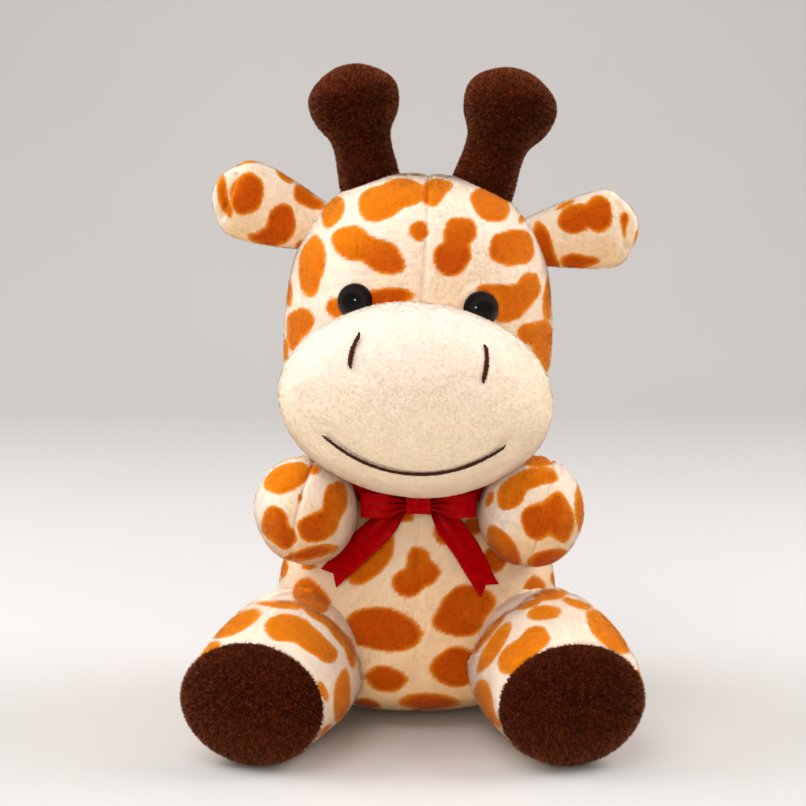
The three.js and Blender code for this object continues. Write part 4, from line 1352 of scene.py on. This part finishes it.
RIBBON_LEANS = {"left": math.radians(42.5), "right": math.radians(31)}
TAIL_TOP = 87.0
TAIL_SIDEWAYS = 9.2
TAIL_TUCK = 2.0
TAIL_BEND = 2.4
TAIL_LENGTHS = {"left": 38.0, "right": 36.5}
TAIL_NOTCH = 2.8


def ribbon_tail(side, lean, whole, seed):
    phase = phase_of(seed)

    def surface(u, v):
        length = whole + TAIL_TUCK - TAIL_NOTCH * (1 - np.abs(v))
        along = u * length - TAIL_TUCK
        width = RIBBON_WIDTH / 2 * (0.5 + 0.5 * smooth(0.0, 0.3, u + 0 * v) - 0.14 * smooth(0.5, 1, u))
        bend = 0.4 * np.sin(1.6 * math.pi * u + phase) * u
        cross = v * width + bend
        towards_knot = TAIL_BEND * (1 - smooth(0.0, 0.6, u))
        x = side * (TAIL_SIDEWAYS - towards_knot + along * math.sin(lean) + cross * math.cos(lean))
        z = TAIL_TOP - along * math.cos(lean) + cross * math.sin(lean)
        fold = (1 - smooth(0.0, 0.7, u)) * 0.5 * np.cos(2 * math.pi * v + phase)
        lift = 1.3 + 0.8 * np.sin(math.pi * u) + 0.35 * v * np.sin(2 * u + phase)
        over = 1.1 * smooth(band_low[2] - 3, band_low[2], z)
        y = torso_front(x, z) - lift - over - fold
        return together(x, y, z)

    return surface


def tail_shade(u, v):
    return 1 - 0.45 * (1 - smooth(0.0, 0.3, u)) + 0 * v


for name, side in SIDES.items():
    ribbon_piece(
        f"bow_{name}_tail_cloth", f"bow_{name}_tail",
        ribbon_tail(side, RIBBON_LEANS[name], TAIL_LENGTHS[name], 40 + side), steps=(60, 17),
        length=TAIL_LENGTHS[name], shade=tail_shade,
    )

# What stays as CAD nodes: the fillings, the neck plug, the pellet bag and the washers, all hidden inside

fibre = plain_material("fibre", FIBRE_WHITE, roughness=0.95, noise_scale=400.0, bump=0.5)
pellet_cloth = plain_material("pellet_cloth", PELLET_GREY, roughness=0.9, noise_scale=900.0, bump=0.5)
washer_plastic = plain_material("washer_plastic", WASHER_WHITE, roughness=0.45, noise_scale=80.0, bump=0.1)
hidden_materials = {"bag": pellet_cloth, "washer": washer_plastic}
for node_name, node in frame["nodes"].items():
    if not node.hide_render:
        node.data.materials.clear()
        node.data.materials.append(hidden_materials.get(kind_of(node_name), fibre))

# Stage, lamps and camera


FLOOR_WIDTH, WALL_HEIGHT = 4000.0, 2500.0
FLOOR_FRONT, FLOOR_BACK, FLOOR_CURVE = -2500.0, 1500.0, 600.0


def stage():
    look = Look("floor")
    look.paint(look.between(FLOOR_GREY, FLOOR_PALE, look.noise(3.0)))
    set_values(look.shader, {"Roughness": 0.6})
    profile = [(FLOOR_FRONT, 0.0)]
    for step in np.linspace(0, math.pi / 2, 16):
        out, up = FLOOR_CURVE * math.sin(step), FLOOR_CURVE * (1 - math.cos(step))
        profile.append((FLOOR_BACK - FLOOR_CURVE + out, up))
    profile.append((FLOOR_BACK, WALL_HEIGHT))
    points = [[x, y, z] for y, z in profile for x in (-FLOOR_WIDTH / 2, FLOOR_WIDTH / 2)]
    faces = [[2 * k, 2 * k + 1, 2 * k + 3, 2 * k + 2] for k in range(len(profile) - 1)]
    floor = mesh_object("floor", np.array(points), np.array(faces))
    floor.data.materials.append(look.material)


def lamp(name, place, target, size, power, rgb=LAMP_WHITE, glossy=False):
    data = bpy.data.lights.new(name, "AREA")
    data.shape = "DISK"
    data.size = size * MM
    data.energy = power
    data.color = rgb
    item = bpy.data.objects.new(name, data)
    item.location = Vector(place) * MM
    way = Vector(target) - Vector(place)
    item.rotation_euler = way.to_track_quat("-Z", "Y").to_euler()
    item.visible_glossy = glossy
    bpy.context.scene.collection.objects.link(item)


stage()
lamp("top", (-350, -500, 1300), (0, 0, 120), size=1000, power=7.0)
lamp("front", (-300, -1500, 450), (0, 0, 120), size=1200, power=7.9, rgb=LAMP_WARM)
for name, side in SIDES.items():
    lamp(f"{name}_rim", (side * 850, 100, 800), (0, 0, 110), size=700, power=8.6)
lamp("catch_light", (-180, -760, 290), (0, 0, 165), size=110, power=1.6, glossy=True)
bpy.data.objects["catch_light"].visible_diffuse = False

world = bpy.data.worlds.new("world")
world.use_nodes = True
set_values(world.node_tree.nodes["Background"], {"Color": (*ROOM_WARM, 1), "Strength": ROOM_STRENGTH})
bpy.context.scene.world = world

camera_data = bpy.data.cameras.new("camera")
camera_data.sensor_width = SENSOR
camera_data.lens = SENSOR * PHOTO_FOCAL / PHOTO_SIDE
camera = bpy.data.objects.new("camera", camera_data)
camera.location = Vector(CAMERA_PLACE) * MM
camera.rotation_euler = (math.pi / 2 - CAMERA_PITCH, 0, 0)
bpy.context.scene.collection.objects.link(camera)
bpy.context.scene.camera = camera
bpy.context.scene.view_settings.view_transform = "Standard"
